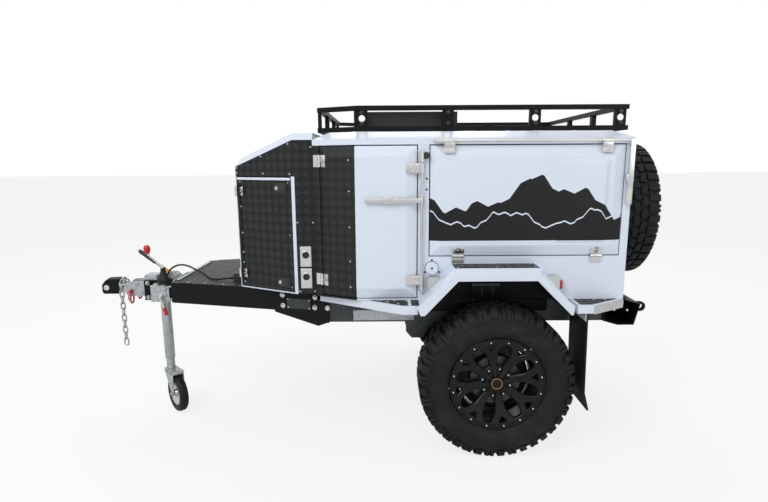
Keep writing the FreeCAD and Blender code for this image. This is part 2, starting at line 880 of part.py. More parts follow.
def make_rim():
    """Eight-spoke wheel about the Y axis, its face towards -Y and its lip in the plane Y = 0."""
    lip, inner, width, step = rim_lip_radius, rim_bore_radius, rim_width, rim_ring_thickness
    slope = step * barrel_slope_share
    barrel = faceted_ring([
        (lip, 0), (lip, step), (inner, slope), (inner, width - slope), (lip, width - step), (lip, width),
        (inner - rim_wall, width), (inner - rim_wall, step), (lip - rim_ring_width, step),
        (lip - rim_ring_width, 0)], 2 * lug_count)
    hub = disc(V(0, hub_disc_depth, 0), V(0, hub_disc_depth + hub_disc_thickness, 0), hub_disc_radius)
    cap = disc(V(0, cap_depth, 0), V(0, hub_disc_depth, 0), cap_radius)
    spokes = [spoke(i * 360 / spoke_count) for i in range(spoke_count)]
    return join([barrel] + spokes + [hub, cap])


def at_wheel(shape, sign, x, z):
    """Place a wheel piece, modelled about the Y axis, on the left (-1) or the right (+1)."""
    placed = moved(shape, V(x, -wheel_face_y, z))
    return placed if sign < 0 else mirror(placed)


def make_drum():
    """Brake drum behind the wheel's disc, bored for the stub axle."""
    depth = hub_disc_depth + hub_disc_thickness + seat_gap
    drum = disc(V(0, depth, 0), V(0, depth + drum_width, 0), drum_radius)
    bore = Part.makeCylinder(stub_radius + seat_gap, drum_width, V(0, depth, 0), AXIS_Y)
    return drum.cut(bore)


# Suspension
pivot_x = -385.0
pivot_z = 588.0
arm_y = 515.0
arm_bar_width = 60.0
arm_bar_height = 74.0
bush_radius = 34.0
bush_half_length = 62.0
hanger_thickness = 8.0
hanger_half_length = 60.0
hanger_tail = 85.0
hanger_nose_half_length = 30.0
hanger_drop = 36.0
backplate_radius = 122.0
backplate_thickness = 6.0
spring_x = -70.0
spring_radius = 52.0
spring_wire = 13.0
spring_turns = 4.5
spring_steps_per_turn = 10
spring_pad_thickness = 8.0
spring_seat_share = 0.75
damper_x = 62.0
damper_neck_share = 2.0
damper_radius = 22.0
damper_rod_radius = 8.0
damper_eye_radius = 16.0
damper_high_z = 612.0
damper_lug_gap = 15.0
damper_lug_thickness = 6.0


def damper_lugs(z, low_z, high_z):
    """Two lug plates and the pin that hold one eye of the left damper."""
    parts = [bar(V(damper_x, -arm_y - damper_lug_gap, z), V(damper_x, -arm_y + damper_lug_gap, z),
                 damper_rod_radius)]
    for y in (-arm_y - damper_lug_gap - damper_lug_thickness, -arm_y + damper_lug_gap):
        parts.append(box(damper_x - 2 * damper_eye_radius, damper_x + damper_eye_radius, y,
                         y + damper_lug_thickness, low_z, high_z))
    return parts


def make_arm():
    """Left trailing arm: pivot bush, beam, spring seat, damper lugs, stub axle and brake backplate."""
    axle, pivot = V(0, -arm_y, tyre_radius), V(pivot_x, -arm_y, pivot_z)
    bush = bar(pivot - AXIS_Y * bush_half_length, pivot + AXIS_Y * bush_half_length, bush_radius)
    run = V(axle - pivot).normalize()
    side = V(-run.z, 0, run.x) * (arm_bar_height / 2)
    y0 = -arm_y - arm_bar_width / 2
    ring = [pivot + side, axle + run * bush_radius + side, axle + run * bush_radius - side, pivot - side]
    beam = face([V(p.x, y0, p.z) for p in ring]).extrude(V(0, arm_bar_width, 0))
    stub_end = wheel_face_y - hub_disc_depth - hub_disc_thickness
    stub = rod(V(0, y0, tyre_radius), V(0, -stub_end, tyre_radius), stub_radius)
    plate_y = stub_end - drum_width - 2 * seat_gap
    plate = bar(V(0, -plate_y + backplate_thickness, tyre_radius), V(0, -plate_y, tyre_radius),
                backplate_radius)
    seat_z = spring_seat_z()
    seat = box(spring_x - spring_radius, spring_x + spring_radius, -arm_y - spring_radius,
               -arm_y + spring_radius, seat_z - spring_pad_thickness, seat_z)
    post = bar(V(spring_x, -arm_y, seat_z - spring_pad_thickness - arm_bar_height / 2),
               V(spring_x, -arm_y, seat_z), bush_radius)
    lugs = damper_lugs(tyre_radius, tyre_radius - damper_eye_radius, tyre_radius + damper_eye_radius)
    return join([bush, beam, stub, plate, seat, post] + lugs)


def spring_seat_z():
    """Height of the spring's lower seat over the arm."""
    share = (spring_x - pivot_x) / -pivot_x
    centre = pivot_z + share * (tyre_radius - pivot_z)
    return centre + arm_bar_height * spring_seat_share


def make_spring():
    """Left coil spring between the arm's seat and the rail."""
    low = spring_seat_z() + spring_wire / 2 + seat_gap
    high = rail_low_z - spring_wire / 2 - seat_gap
    steps = int(spring_turns * spring_steps_per_turn)
    reach = spring_radius - spring_wire
    points = []
    for i in range(steps + 1):
        angle = 2 * math.pi * i / spring_steps_per_turn
        points.append(V(spring_x + reach * math.cos(angle), -arm_y + reach * math.sin(angle),
                        low + (high - low) * i / steps))
    return bar_along(points, spring_wire / 2, 5)


def make_damper():
    """Left damper with its two eyes, between the arm's lugs and the rail's."""
    low, high = V(damper_x, -arm_y, tyre_radius), V(damper_x, -arm_y, damper_high_z)
    middle = (low + high) / 2
    body = bar(low + UP * (damper_eye_radius * damper_neck_share), middle, damper_radius)
    shaft = bar(low, high, damper_rod_radius)
    parts = [body, shaft]
    half = damper_lug_gap - seat_gap
    for centre in (low, high):
        parts.append(bar(centre - AXIS_Y * half, centre + AXIS_Y * half, damper_eye_radius))
    reach, bore = AXIS_Y * 2 * half, damper_rod_radius + seat_gap
    bores = [bar(centre - reach, centre + reach, bore) for centre in (low, high)]
    return join(parts).cut(bores[0]).cut(bores[1])


# Chassis
cross_shares = (0.0, 0.337, 0.6685, 1.0)
bearer_shares = (0.033, 0.185, 0.337, 0.6685, 0.855, 1.0)
tower_front_x = -101.0
tower_length = 142.0
tower_depth = 20.0
tower_high_z = 850.0


def hanger_outline():
    """Side outline of the plates that hold the trailing arm's pivot."""
    return [(pivot_x - hanger_half_length, rail_low_z), (pivot_x - hanger_half_length, pivot_z),
            (pivot_x - hanger_nose_half_length, pivot_z - hanger_drop),
            (pivot_x + hanger_nose_half_length, pivot_z - hanger_drop), (pivot_x + hanger_tail, rail_low_z)]


def make_tower():
    """Two ribs on a back plate above the left rail, seen inside the wheel arch."""
    y0 = -rail_outer_y - tower_depth
    tower_low_z = rail_high_z - cross_width / 2
    back = box(tower_front_x, tower_front_x + tower_length, -rail_outer_y - hanger_thickness, -rail_outer_y,
               tower_low_z, tower_high_z)
    parts = [back]
    for x in (tower_front_x, tower_front_x + tower_length - hanger_thickness):
        parts.append(box(x, x + hanger_thickness, y0, -rail_outer_y, tower_low_z, tower_high_z))
    liner = box(tower_front_x, tower_front_x + tower_length, -well_inner_y - seat_gap, 0, rail_high_z,
                tower_high_z)
    return [part.cut(liner) for part in parts]


def make_chassis():
    """Two channel rails, cross members, floor bearers, arm hangers, spring seats and damper lugs."""
    inner_y = rail_outer_y - rail_width
    front, rear = chassis_front_x, rail_rear_x - cross_width
    rail = box(front + cross_width, rail_rear_x, -rail_outer_y, -inner_y, rail_low_z, rail_high_z)
    hollow = box(front + cross_width - cut_margin, rail_rear_x + cut_margin, -rail_outer_y + rail_wall,
                 -inner_y + cut_margin, rail_low_z + rail_wall, rail_high_z - rail_wall)
    side_parts = [rail.cut(hollow)]
    hanger_y = arm_y + bush_half_length + seat_gap
    for y in (hanger_y, 2 * arm_y - hanger_y - hanger_thickness):
        side_parts.append(prism_xz(hanger_outline(), -y - hanger_thickness, -y))
    reach = bush_half_length + hanger_thickness + seat_gap
    side_parts.append(box(pivot_x - hanger_half_length, pivot_x + hanger_tail, -arm_y - reach,
                          -arm_y + reach, rail_low_z, rail_low_z + rail_wall))
    side_parts.append(box(spring_x - spring_radius, spring_x + spring_radius, -arm_y - spring_radius,
                          -arm_y + spring_radius, rail_low_z, rail_low_z + rail_wall))
    side_parts += damper_lugs(damper_high_z, damper_high_z - damper_eye_radius, rail_low_z + rail_wall)
    parts = []
    for shape in side_parts:
        parts += [shape, mirror(shape)]
    for share in cross_shares:
        x = front + share * (rear - front)
        inside = rail_wall if share else 0
        half = rail_outer_y - inside
        parts.append(box(x, x + cross_width, -half, half, rail_low_z + inside, rail_high_z - inside))
    for share in bearer_shares:
        x = front + share * (rear - front)
        half = well_inner_y - 2 * guard_sheet
        parts.append(box(x, x + cross_width, -half, half, rail_high_z, body_bottom_z - seat_gap))
    return join(parts)


# Drawbar
gusset_length = 250.0
gusset_shoulder = 200.0
gusset_tail = 60.0
gusset_drop = 71.0
gusset_lip = 8.0
gusset_low_z = 622.0
link_margin = 10.0


def along_draw(shape):
    """Turn a shape, modelled along X with its outer face at Y = 0, onto the left drawbar rail."""
    placed = moved(shape, V(chassis_front_x, -rail_outer_y, 0))
    return turned(placed, V(chassis_front_x, -rail_outer_y, 0), UP, -draw_angle)


def draw_half_width(x):
    """Distance from the middle to the drawbar's outer face."""
    return rail_outer_y + (x - chassis_front_x) * math.tan(math.radians(draw_angle))


def make_drawbar():
    """A-frame rails, front crossbeam, centre beam and gusset plates."""
    length = (chassis_front_x - crossbeam_front_x) / math.cos(math.radians(draw_angle)) + draw_width
    solid = box(-length, 3 * cut_margin, 0, draw_width, draw_low_z, draw_high_z)
    hollow = box(-length - cut_margin, 4 * cut_margin, draw_wall, draw_width - draw_wall,
                 draw_low_z + draw_wall, draw_high_z - draw_wall)
    keep = box(crossbeam_front_x, chassis_front_x, -body_half_width, 0, draw_low_z - cut_margin,
               draw_high_z + cut_margin)
    rail = along_draw(solid.cut(hollow)).common(keep)
    front_half = draw_half_width(crossbeam_front_x)
    rear_half = draw_half_width(crossbeam_front_x + draw_width)
    ends = [(crossbeam_front_x, -front_half), (crossbeam_front_x + draw_width, -rear_half),
            (crossbeam_front_x + draw_width, rear_half), (crossbeam_front_x, front_half)]
    beam = prism_xy(ends, draw_low_z, draw_high_z)
    core = prism_xy(inset(ends, draw_wall), draw_low_z + draw_wall, draw_high_z - draw_wall)
    gusset = [(-gusset_length, draw_low_z), (-gusset_length, draw_low_z - gusset_lip), (0, gusset_low_z),
              (gusset_tail - link_margin, rail_low_z), (gusset_tail, rail_low_z),
              (gusset_tail, rail_high_z - link_margin), (-cut_margin, rail_high_z - link_margin),
              (-gusset_length + gusset_shoulder, draw_high_z - link_margin),
              (-gusset_shoulder, draw_high_z - link_margin)]
    plate = along_draw(prism_xz(gusset, -hanger_thickness, 0))
    half = centre_beam_half_width
    front = box(centre_beam_front_x, crossbeam_front_x, -half, half, centre_beam_low_z, centre_beam_high_z)
    rear = box(crossbeam_front_x + draw_width, chassis_front_x, -half, half, rail_low_z, rail_high_z)
    link = box(crossbeam_front_x, crossbeam_front_x + draw_width, -half, half, rail_low_z, draw_low_z)
    return join([rail, mirror(rail), beam.cut(core), plate, mirror(plate), front, rear, link])


def make_deck():
    """Chequer plate over the drawbar, behind the crossbeam."""
    x0, x1 = crossbeam_front_x + draw_width, body_front_x
    half0, half1 = draw_half_width(x0) - sheet, draw_half_width(x1) - sheet
    return prism_xy([(x0, -half0), (x1, -half1), (x1, half1), (x0, half0)], draw_high_z,
                    draw_high_z + sheet - seat_gap)


# Coupling
flange_low_z = 634.0
cover_high_z = 790.0
cover_half_width = 46.0
cover_length = 75.0
head_chamfer = 12.0
slope_drop_share = 1.5
shaft_end_share = 0.9
head_slope_start = 34.0
head_nose_drop = 40.0
head_disc_radius = 16.0
head_disc_thickness = 4.0
head_disc_offset = 27.0
socket_rise = 20.0
brake_rod_radius = 5.0


def make_overrun():
    """Square flange, cover, coupling shaft, the two shackle lugs and the brake rod over the beam."""
    flange_x = centre_beam_front_x - flange_length
    flange = box(flange_x, centre_beam_front_x, -flange_half_width, flange_half_width, flange_low_z,
                 centre_beam_high_z)
    cover = box(flange_x, flange_x + cover_length, -cover_half_width, cover_half_width, centre_beam_high_z,
                cover_high_z)
    shaft = rod(V(coupling_front_x + head_length * shaft_end_share, 0, shaft_z), V(flange_x, 0, shaft_z),
                shaft_radius)
    lugs = []
    nose_r = (lug_plate_high_z - lug_plate_low_z) / 2
    mid_z = (lug_plate_high_z + lug_plate_low_z) / 2
    for sign in (-1, 1):
        y0 = sign * lug_plate_y - lug_plate_thickness / 2
        plate = box(lug_plate_front_x + nose_r, flange_x, y0, y0 + lug_plate_thickness, lug_plate_low_z,
                    lug_plate_high_z)
        nose = Part.makeCylinder(nose_r, lug_plate_thickness, V(lug_plate_front_x + nose_r, y0, mid_z),
                                 AXIS_Y)
        hole = Part.makeCylinder(lug_hole_radius, lug_plate_thickness + 2 * cut_margin,
                                 V(lug_hole_x, y0 - cut_margin, lug_hole_z), AXIS_Y)
        lugs.append(plate.fuse(nose).cut(hole))
    rod_z = cover_high_z - 2 * brake_rod_radius
    brake_rod = bar(V(flange_x + cover_length, 0, rod_z), V(lever_pivot_x - lever_plate_front, 0, rod_z),
                    brake_rod_radius)
    return join([flange, cover, shaft, brake_rod] + lugs)


def make_coupling_head():
    """Ball coupling head, round at the front, with its socket open downwards."""
    x0, x1, half = coupling_front_x, coupling_front_x + head_length, head_width / 2
    cut = head_chamfer
    side = [(x0, head_low_z + cut), (x0 + cut, head_low_z), (x1 - cut, head_low_z), (x1, head_low_z + cut),
            (x1, head_high_z - cut), (x1 - 2 * cut, head_high_z), (x0 + head_slope_start,
                                                                   head_high_z - cut * slope_drop_share),
            (x0 + cut / 2, head_high_z - head_nose_drop)]
    body = prism_xz(side, -half, half)
    nose = V(x0 + half, 0, 0)
    round_front = loft(polygon_ring(nose, half, round_sides), polygon_ring(nose + UP * head_high_z, half,
                                                                           round_sides))
    head = body.common(round_front.fuse(box(x0 + half, x1, -half, half, 0, head_high_z)))
    socket = Part.makeCylinder(ball_radius, ball_z - head_low_z + cut_margin,
                               V(ball_x, 0, head_low_z - cut_margin))
    dome = Part.makeCone(ball_radius, ball_radius / 2, socket_rise, V(ball_x, 0, ball_z), UP)
    shaft_hole = rod(V(x0 + head_length * shaft_end_share - seat_gap, 0, shaft_z),
                     V(x1 + cut_margin, 0, shaft_z),
                     shaft_radius + seat_gap)
    boss = V(x0 + head_disc_offset, -half, head_low_z + 2 * head_disc_radius)
    cap = bar(boss - AXIS_Y * head_disc_thickness, boss, head_disc_radius)
    return join([head.cut(socket).cut(dome).cut(shaft_hole), cap])


shackle_wire = 11.0
shackle_inside = 24.0
shackle_pin_radius = 7.0
shackle_neck = 20.0
shackle_bow_drop = 46.0
shackle_bow_spread = 6.0
shackle_bow_steps = 6
shackle_bow_share = 1.24


def make_shackle(y, x, z):
    """Bow shackle through a lug's hole, hanging down."""
    half = shackle_inside / 2 + shackle_wire / 2
    bow_radius = half + shackle_bow_spread
    pts = [V(x, y - half, z), V(x, y - half, z - shackle_neck)]
    for i in range(shackle_bow_steps + 1):
        angle = math.pi * (1 + shackle_bow_share * (1 - 2 * i / shackle_bow_steps)) / 2
        pts.append(V(x, y + bow_radius * math.cos(angle),
                     z - shackle_bow_drop - bow_radius * math.sin(angle)))
    pts += [V(x, y + half, z - shackle_neck), V(x, y + half, z)]
    bow = bar_along(pts, shackle_wire / 2, 6)
    reach = half + shackle_pin_radius
    pin = bar(V(x, y - reach, z), V(x, y + reach, z), shackle_pin_radius)
    return join([bow, pin])


def make_shackles():
    """Two bow shackles on the safety lugs."""
    rest_z = lug_hole_z - lug_hole_radius + shackle_pin_radius + seat_gap
    return group([make_shackle(sign * lug_plate_y, lug_hole_x, rest_z) for sign in (-1, 1)])


chain_wire = 9.0
chain_inside = 40.0
chain_width_inside = 15.0
chain_play = 1.2
chain_left_links = 10
chain_right_links = 3
chain_end_steps = 4


def chain_joints():
    """Joints between the links, in the (y, z) plane, draped over the coupling shaft."""
    pitch = chain_inside - chain_play
    saddle_z = shaft_z + shaft_radius + seat_gap + (chain_width_inside + 2 * chain_wire) / 2
    step = pitch / math.sqrt(2)
    shoulder_y, shoulder_z = pitch / 2 + step, saddle_z - step
    left_run = [(-shoulder_y, shoulder_z - pitch * i) for i in range(chain_left_links, -1, -1)]
    right_run = [(shoulder_y, shoulder_z - pitch * i) for i in range(chain_right_links + 1)]
    return left_run + [(-pitch / 2, saddle_z), (pitch / 2, saddle_z)] + right_run


def chain_link(start, end, flat):
    """One oval link between two joints of the chain."""
    centre = V(chain_x, (start[0] + end[0]) / 2, (start[1] + end[1]) / 2)
    along = V(0, end[0] - start[0], end[1] - start[1]).normalize()
    across = AXIS_X if flat else along.cross(AXIS_X)
    half_w = (chain_width_inside + chain_wire) / 2
    straight = (chain_inside + chain_wire) / 2 - half_w
    pts = []
    for end_sign in (1, -1):
        for k in range(chain_end_steps + 1):
            angle = math.pi * k / chain_end_steps
            side, rise = half_w * math.cos(angle), straight + half_w * math.sin(angle)
            pts.append(centre + (across * side + along * rise) * end_sign)
    return bar_along(pts, chain_wire / 2, 5, closed=True)


def make_chain():
    """Safety chain draped over the coupling shaft, its long end on the left."""
    joints = chain_joints()
    top = chain_left_links + 1
    return group([chain_link(a, b, (i - top) % 2 == 1) for i, (a, b) in enumerate(zip(joints, joints[1:]))])


chain_x = coupling_front_x + head_length + (chain_width_inside + 2 * chain_wire) / 2 + seat_gap
lever_pivot_x = -1905.0
lever_pivot_z = 792.0
lever_length = 239.6
lever_rise = 37.5
lever_stem_radius = 8.0
lever_grip_radius = 14.0
lever_grip_share = 0.52
lever_button = 12.0
lever_plate_front = 60.0
lever_plate_rear = 70.0
lever_plate_thickness = 6.0
lever_plate_gap = 20.0


def make_handbrake():
    """Handbrake lever with its bracket plates, pin, grip and button."""
    pivot = V(lever_pivot_x, 0, lever_pivot_z)
    rise = math.radians(lever_rise)
    run = V(-math.cos(rise), 0, math.sin(rise))
    crest = lever_pivot_z + 2 * lever_stem_radius
    outline = [(lever_pivot_x - lever_plate_front, centre_beam_high_z),
               (lever_pivot_x + lever_plate_rear, centre_beam_high_z),
               (lever_pivot_x + lever_plate_rear / 2, crest), (lever_pivot_x - lever_stem_radius, crest)]
    plates = []
    for y in (-lever_plate_gap / 2 - lever_plate_thickness, lever_plate_gap / 2):
        plates.append(prism_xz(outline, y, y + lever_plate_thickness))
    pin_half = lever_plate_gap / 2 + 2 * lever_plate_thickness
    pin = bar(pivot - AXIS_Y * pin_half, pivot + AXIS_Y * pin_half, lever_stem_radius - 2 * seat_gap)
    end = pivot + run * lever_length
    grip_start = pivot + run * (lever_length * (1 - lever_grip_share))
    stem = bar(pivot, grip_start, lever_stem_radius)
    grip = bar(grip_start, end, lever_grip_radius)
    button = bar(end, end + run * lever_button, lever_stem_radius)
    return join(plates + [pin, stem, grip, button])


# Jockey wheel
bracket_length = 70.0
bracket_half_width = 45.0
bracket_wall = 8.0
bracket_low_z = 687.0
clamp_plate_thickness = 6.0
clamp_plate_outer_y = 290.0
clamp_plate_inner_y = 56.0
clamp_plate_high_z = 815.0
clamp_bolt_z = 706.0
clamp_bolt_radius = 9.0
clamp_bolt_stand = 26.0
clamp_handle_radius = 6.0
clamp_handle_drop = 66.0
clamp_handle_lean = 20.0
clamp_grip_radius = 12.0
clamp_grip_length = 44.0
cap_gap = 6.0
rubber_cap_radius = 38.0
rubber_cap_height = 98.0
rubber_cap_sides = 16
rubber_cap_shares = ((1.0, 0.0), (1.0, 0.2), (0.78, 0.38), (0.5, 0.55), (0.36, 0.75), (0.32, 1.0))
crank_radius = 8.0
crank_drop = 14.0
crank_reach = 84.0
crank_rise = 88.0
knob_radius = 19.0
knob_height = 54.0
fork_plate = 5.0
fork_margin = 6.0
fork_crown = 16.0
fork_end_half_length = 18.0
fork_top_half_length = 24.0
inner_tube_overlap = 160.0
inner_tube_reach = 77.0
axle_radius = 8.0
axle_overhang = 14.0
jockey_rim_radius = 72.0
jockey_rim_half_width = 20.0
jockey_hub_radius = 24.0
jockey_web_half_width = 12.0
jockey_tread_corner = 13.0
jockey_sides = 24


def jockey_point(z):
    """Point on the jockey wheel's upright axis."""
    return V(jockey_x, -jockey_y, z)


def make_clamp():
    """Clamp block round the jockey tube on a hollow bracket, with its plate on the crossbeam and handle."""
    near_y, far_y = -jockey_y - jockey_tube_radius - clamp_wrap, -jockey_y + jockey_tube_radius + clamp_wrap
    rear_x = jockey_x + jockey_tube_radius + clamp_wrap
    ease = clamp_wrap
    plan = [(jockey_x - clamp_reach, near_y + ease), (jockey_x - clamp_reach + ease, near_y),
            (rear_x, near_y),
            (rear_x, far_y), (jockey_x - clamp_reach + ease, far_y), (jockey_x - clamp_reach, far_y - ease)]
    block = prism_xy(plan, clamp_low_z, clamp_high_z)
    slot_half = jockey_tube_radius / 2
    slot = box(jockey_x - clamp_reach - cut_margin, jockey_x, -jockey_y - slot_half, -jockey_y + slot_half,
               clamp_low_z - cut_margin, clamp_high_z + cut_margin)
    bore = Part.makeCylinder(jockey_tube_radius, clamp_high_z - clamp_low_z + 2 * cut_margin,
                             jockey_point(clamp_low_z - cut_margin))
    x1 = crossbeam_front_x - clamp_plate_thickness
    x0 = x1 - bracket_length
    y0, y1 = -jockey_y - bracket_half_width, -jockey_y + bracket_half_width
    bracket = box(x0, x1, y0, y1, bracket_low_z, clamp_high_z)
    pocket = box(x0 + bracket_wall, x1 - bracket_wall, y0 - cut_margin, y1 - bracket_wall,
                 bracket_low_z + bracket_wall, clamp_high_z - bracket_wall)
    plate = box(x1, crossbeam_front_x, -clamp_plate_outer_y, -clamp_plate_inner_y, draw_low_z,
                clamp_plate_high_z)
    bolt_x = jockey_x - clamp_handle_radius
    bolt_end = near_y - clamp_bolt_stand
    bolt = bar(V(bolt_x, bolt_end, clamp_bolt_z), V(bolt_x, near_y, clamp_bolt_z), clamp_bolt_radius)
    top = V(bolt_x, bolt_end + clamp_handle_radius, clamp_bolt_z)
    low = top + V(clamp_handle_lean, 0, -clamp_handle_drop)
    run = V(low - top).normalize()
    handle = bar(top, low, clamp_handle_radius)
    grip = bar(low, low + run * clamp_grip_length, clamp_grip_radius)
    body = join([block, bracket, plate]).cut(pocket).cut(slot).cut(bore)
    return join([body, bolt, handle, grip])


def make_jockey_tube():
    """Outer tube with its rubber cap, crank arm and knob."""
    cap_z = clamp_high_z + cap_gap
    tube = pipe(jockey_point(jockey_tube_low_z), jockey_point(cap_z), jockey_tube_radius - seat_gap,
                jockey_tube_wall)
    rings = []
    for radius_share, height_share in rubber_cap_shares:
        centre = jockey_point(cap_z + rubber_cap_height * height_share)
        rings.append(polygon_ring(centre, rubber_cap_radius * radius_share, rubber_cap_sides))
    cap = join([loft(low, high) for low, high in zip(rings, rings[1:])])
    arm_low = jockey_point(cap_z + rubber_cap_height)
    arm_high = arm_low + V(-crank_reach, 0, crank_rise)
    neck = bar(arm_low - UP * crank_drop, arm_low + UP * crank_radius, crank_radius + seat_gap)
    arm = bar(arm_low, arm_high, crank_radius)
    knob = bar(arm_high - UP * crank_radius, arm_high + UP * (knob_height - crank_radius), knob_radius)
    return join([tube, cap, neck, arm, knob])


def jockey_turn(shape):
    """Turn a shape, modelled with its trail along +X, to the wheel's heading."""
    return turned(shape, jockey_point(0), UP, jockey_heading)


def make_fork():
    """Inner tube, crown and fork of the jockey wheel, with the axle."""
    crown_z = jockey_tube_low_z - inner_tube_reach
    inner = bar(jockey_point(crown_z), jockey_point(jockey_tube_low_z + inner_tube_overlap),
                jockey_inner_radius)
    half = jockey_wheel_width / 2 + fork_margin
    outer = half + fork_plate
    axle_x = jockey_x + jockey_trail
    x0, x1 = jockey_x - fork_top_half_length, axle_x + fork_top_half_length
    crown = box(x0, x1, -jockey_y - outer, -jockey_y + outer, crown_z - fork_plate, crown_z + fork_crown)
    outline = [(x0, crown_z + fork_plate), (x1, crown_z + fork_plate),
               (axle_x + fork_end_half_length, jockey_wheel_radius - fork_end_half_length),
               (axle_x - fork_end_half_length, jockey_wheel_radius - fork_end_half_length)]
    cheeks = [prism_xz(outline, -jockey_y - outer, -jockey_y - half),
              prism_xz(outline, -jockey_y + half, -jockey_y + outer)]
    reach = half + axle_overhang
    axle = bar(V(axle_x, -jockey_y - reach, jockey_wheel_radius),
               V(axle_x, -jockey_y + reach, jockey_wheel_radius),
               axle_radius)
    return jockey_turn(join([inner, crown] + cheeks + [axle]))


def make_jockey_wheel():
    """Dished rim and solid rubber tyre of the jockey wheel."""
    half, bore = jockey_wheel_width / 2, axle_radius + seat_gap
    rim_r, rim_half, web = jockey_rim_radius, jockey_rim_half_width, jockey_web_half_width
    one_side = [(axle_radius / 2, half), (jockey_hub_radius, half), (jockey_hub_radius, web),
                (rim_r - web, rim_half), (rim_r, rim_half)]
    sides = jockey_sides
    rim = faceted_ring(one_side + [(r, -y) for r, y in reversed(one_side)], sides)
    rim = rim.cut(rod(-AXIS_Y * jockey_wheel_width, AXIS_Y * jockey_wheel_width, bore))
    seat = rim_r + 2 * seat_gap
    crest = jockey_wheel_radius / math.cos(math.pi / sides)
    tyre_side = [(seat, rim_half), (seat + web / 2, half), (crest - jockey_tread_corner, half),
                 (crest, half - jockey_tread_corner)]
    tyre = faceted_ring([(r, -y) for r, y in tyre_side] + [(r, y) for r, y in reversed(tyre_side)], sides)
    place = V(jockey_x + jockey_trail, -jockey_y, jockey_wheel_radius)
    half_step = 180 / sides
    rim, tyre = [moved(turned(shape, ORIGIN, AXIS_Y, half_step), place) for shape in (rim, tyre)]
    return jockey_turn(rim), jockey_turn(tyre)


# Mudguards, liners and sills
guard_front_x = -390.0
guard_rear_x = 336.0
guard_shoulder_z = 806.0
guard_top_front_x = -230.0
guard_top_rear_x = 179.0
guard_fold_margin = 5.0
guard_foot_front = 20.0
guard_foot_rear = 10.0


def guard_outlines():
    """Side outlines of the mudguard's flat top and of its face, corner for corner."""
    f_foot, f_top, r_top, r_foot = guard_lip_line()
    feet = [(r_foot[0] + guard_foot_rear, r_foot[1]), (f_foot[0] - guard_foot_front, f_foot[1])]
    top = [(guard_front_x, guard_shoulder_z), (guard_top_front_x, guard_top_z),
           (guard_top_rear_x, guard_top_z),
           (guard_rear_x, guard_shoulder_z)]
    edge = guard_fold_margin
    fold = [(guard_front_x - 3 * edge, guard_shoulder_z - edge / 2),
            (guard_top_front_x + edge, guard_fold_z),
            (guard_top_rear_x - edge, guard_fold_z), (guard_rear_x + edge, guard_shoulder_z - edge / 2)]
    return top + feet, fold + feet


def guard_solid(shrink, y_fold, y_face):
    """Mudguard block, with its outlines moved inwards."""
    top, fold = guard_outlines()
    top, fold = (inset(top, shrink), inset(fold, shrink)) if shrink else (top, fold)
    block = prism_xz(top, -y_fold, -body_half_width)
    flare = loft([V(x, -y_fold, z) for x, z in top], [V(x, -y_face, z) for x, z in fold])
    return block.fuse(flare)


def make_mudguards():
    """Folded sheet mudguards over the wheels."""
    outer = guard_solid(0, guard_top_half_width, guard_half_width)
    inner = guard_solid(guard_sheet, guard_top_half_width - guard_sheet / 2, guard_half_width - guard_sheet)
    line = guard_lip_line()
    tunnel = prism_xz([(line[0][0], line[0][1] - cut_margin)] + line + [(line[3][0],
                                                                         line[3][1] - cut_margin)],
                      -guard_half_width - cut_margin, -body_half_width + cut_margin)
    low = box(line[0][0] - 5 * cut_margin, line[3][0] + 5 * cut_margin, -guard_half_width + guard_sheet,
              -body_half_width + cut_margin, line[0][1] - cut_margin, line[0][1] + guard_sheet + sheet)
    guard = outer.cut(inner).cut(tunnel).cut(low)
    return both(moved(guard, V(0, -seat_gap, 0)).removeSplitter())


def make_liners():
    """Black wheel-well liners inside the body."""
    outer = prism_xz(well_outline(guard_sheet - seat_gap), -body_half_width, -well_inner_y + guard_sheet)
    inner = prism_xz(well_outline(0), -body_half_width - cut_margin, -well_inner_y)
    trim = box(hatch_front_x * 2, hatch_rear_x, -body_half_width - cut_margin, 0, 0, rail_high_z + seat_gap)
    return both(outer.cut(inner).cut(trim).removeSplitter())


sill_front_x = -895.0
sill_front_setback = 155.0
sill_front_half_width = body_half_width - sill_front_setback
sill_knee_x = -474.0
sill_rear_x = -428.0
tail_front_x = 362.0
tail_knee_x = 440.0
sill_depth = 292.0
sill_inner_y = sill_half_width - sill_depth
sill_edge = 16.0
sill_wall = 4.0
tread_setback = 70.0
strip_thickness = 3.0
strip_drop = 46.0
strip_foot_x = 500.0
strip_foot_z = 716.0
flap_x = 416.0
flap_setback = 28.0
flap_stand_off = 20.0
flap_outer_y = sill_half_width - flap_setback
flap_inner_y = sill_inner_y + flap_stand_off
flap_thickness = 8.0
flap_low_z = 256.0
flap_curl_z = 346.0
flap_curl = 32.0
flap_lean = 16.0
flap_bracket_low_z = 716.0
flap_bracket_thickness = 4.0


def sill_plans(setback):
    """Plan outlines of the two left sills: a long wedge before the wheel, a short one behind it."""
    slope = (sill_half_width - sill_front_half_width) / (sill_knee_x - sill_front_x)
    start, start_y = sill_front_x + setback, sill_front_half_width + setback * slope
    front = [(start, start_y), (sill_knee_x, sill_half_width), (sill_rear_x, sill_half_width),
             (sill_rear_x, sill_inner_y), (start, sill_inner_y)]
    rear = [(tail_front_x, sill_half_width), (tail_knee_x, sill_half_width), (body_rear_x, body_half_width),
            (body_rear_x, sill_inner_y), (tail_front_x, sill_inner_y)]
    return left(front), left(rear)


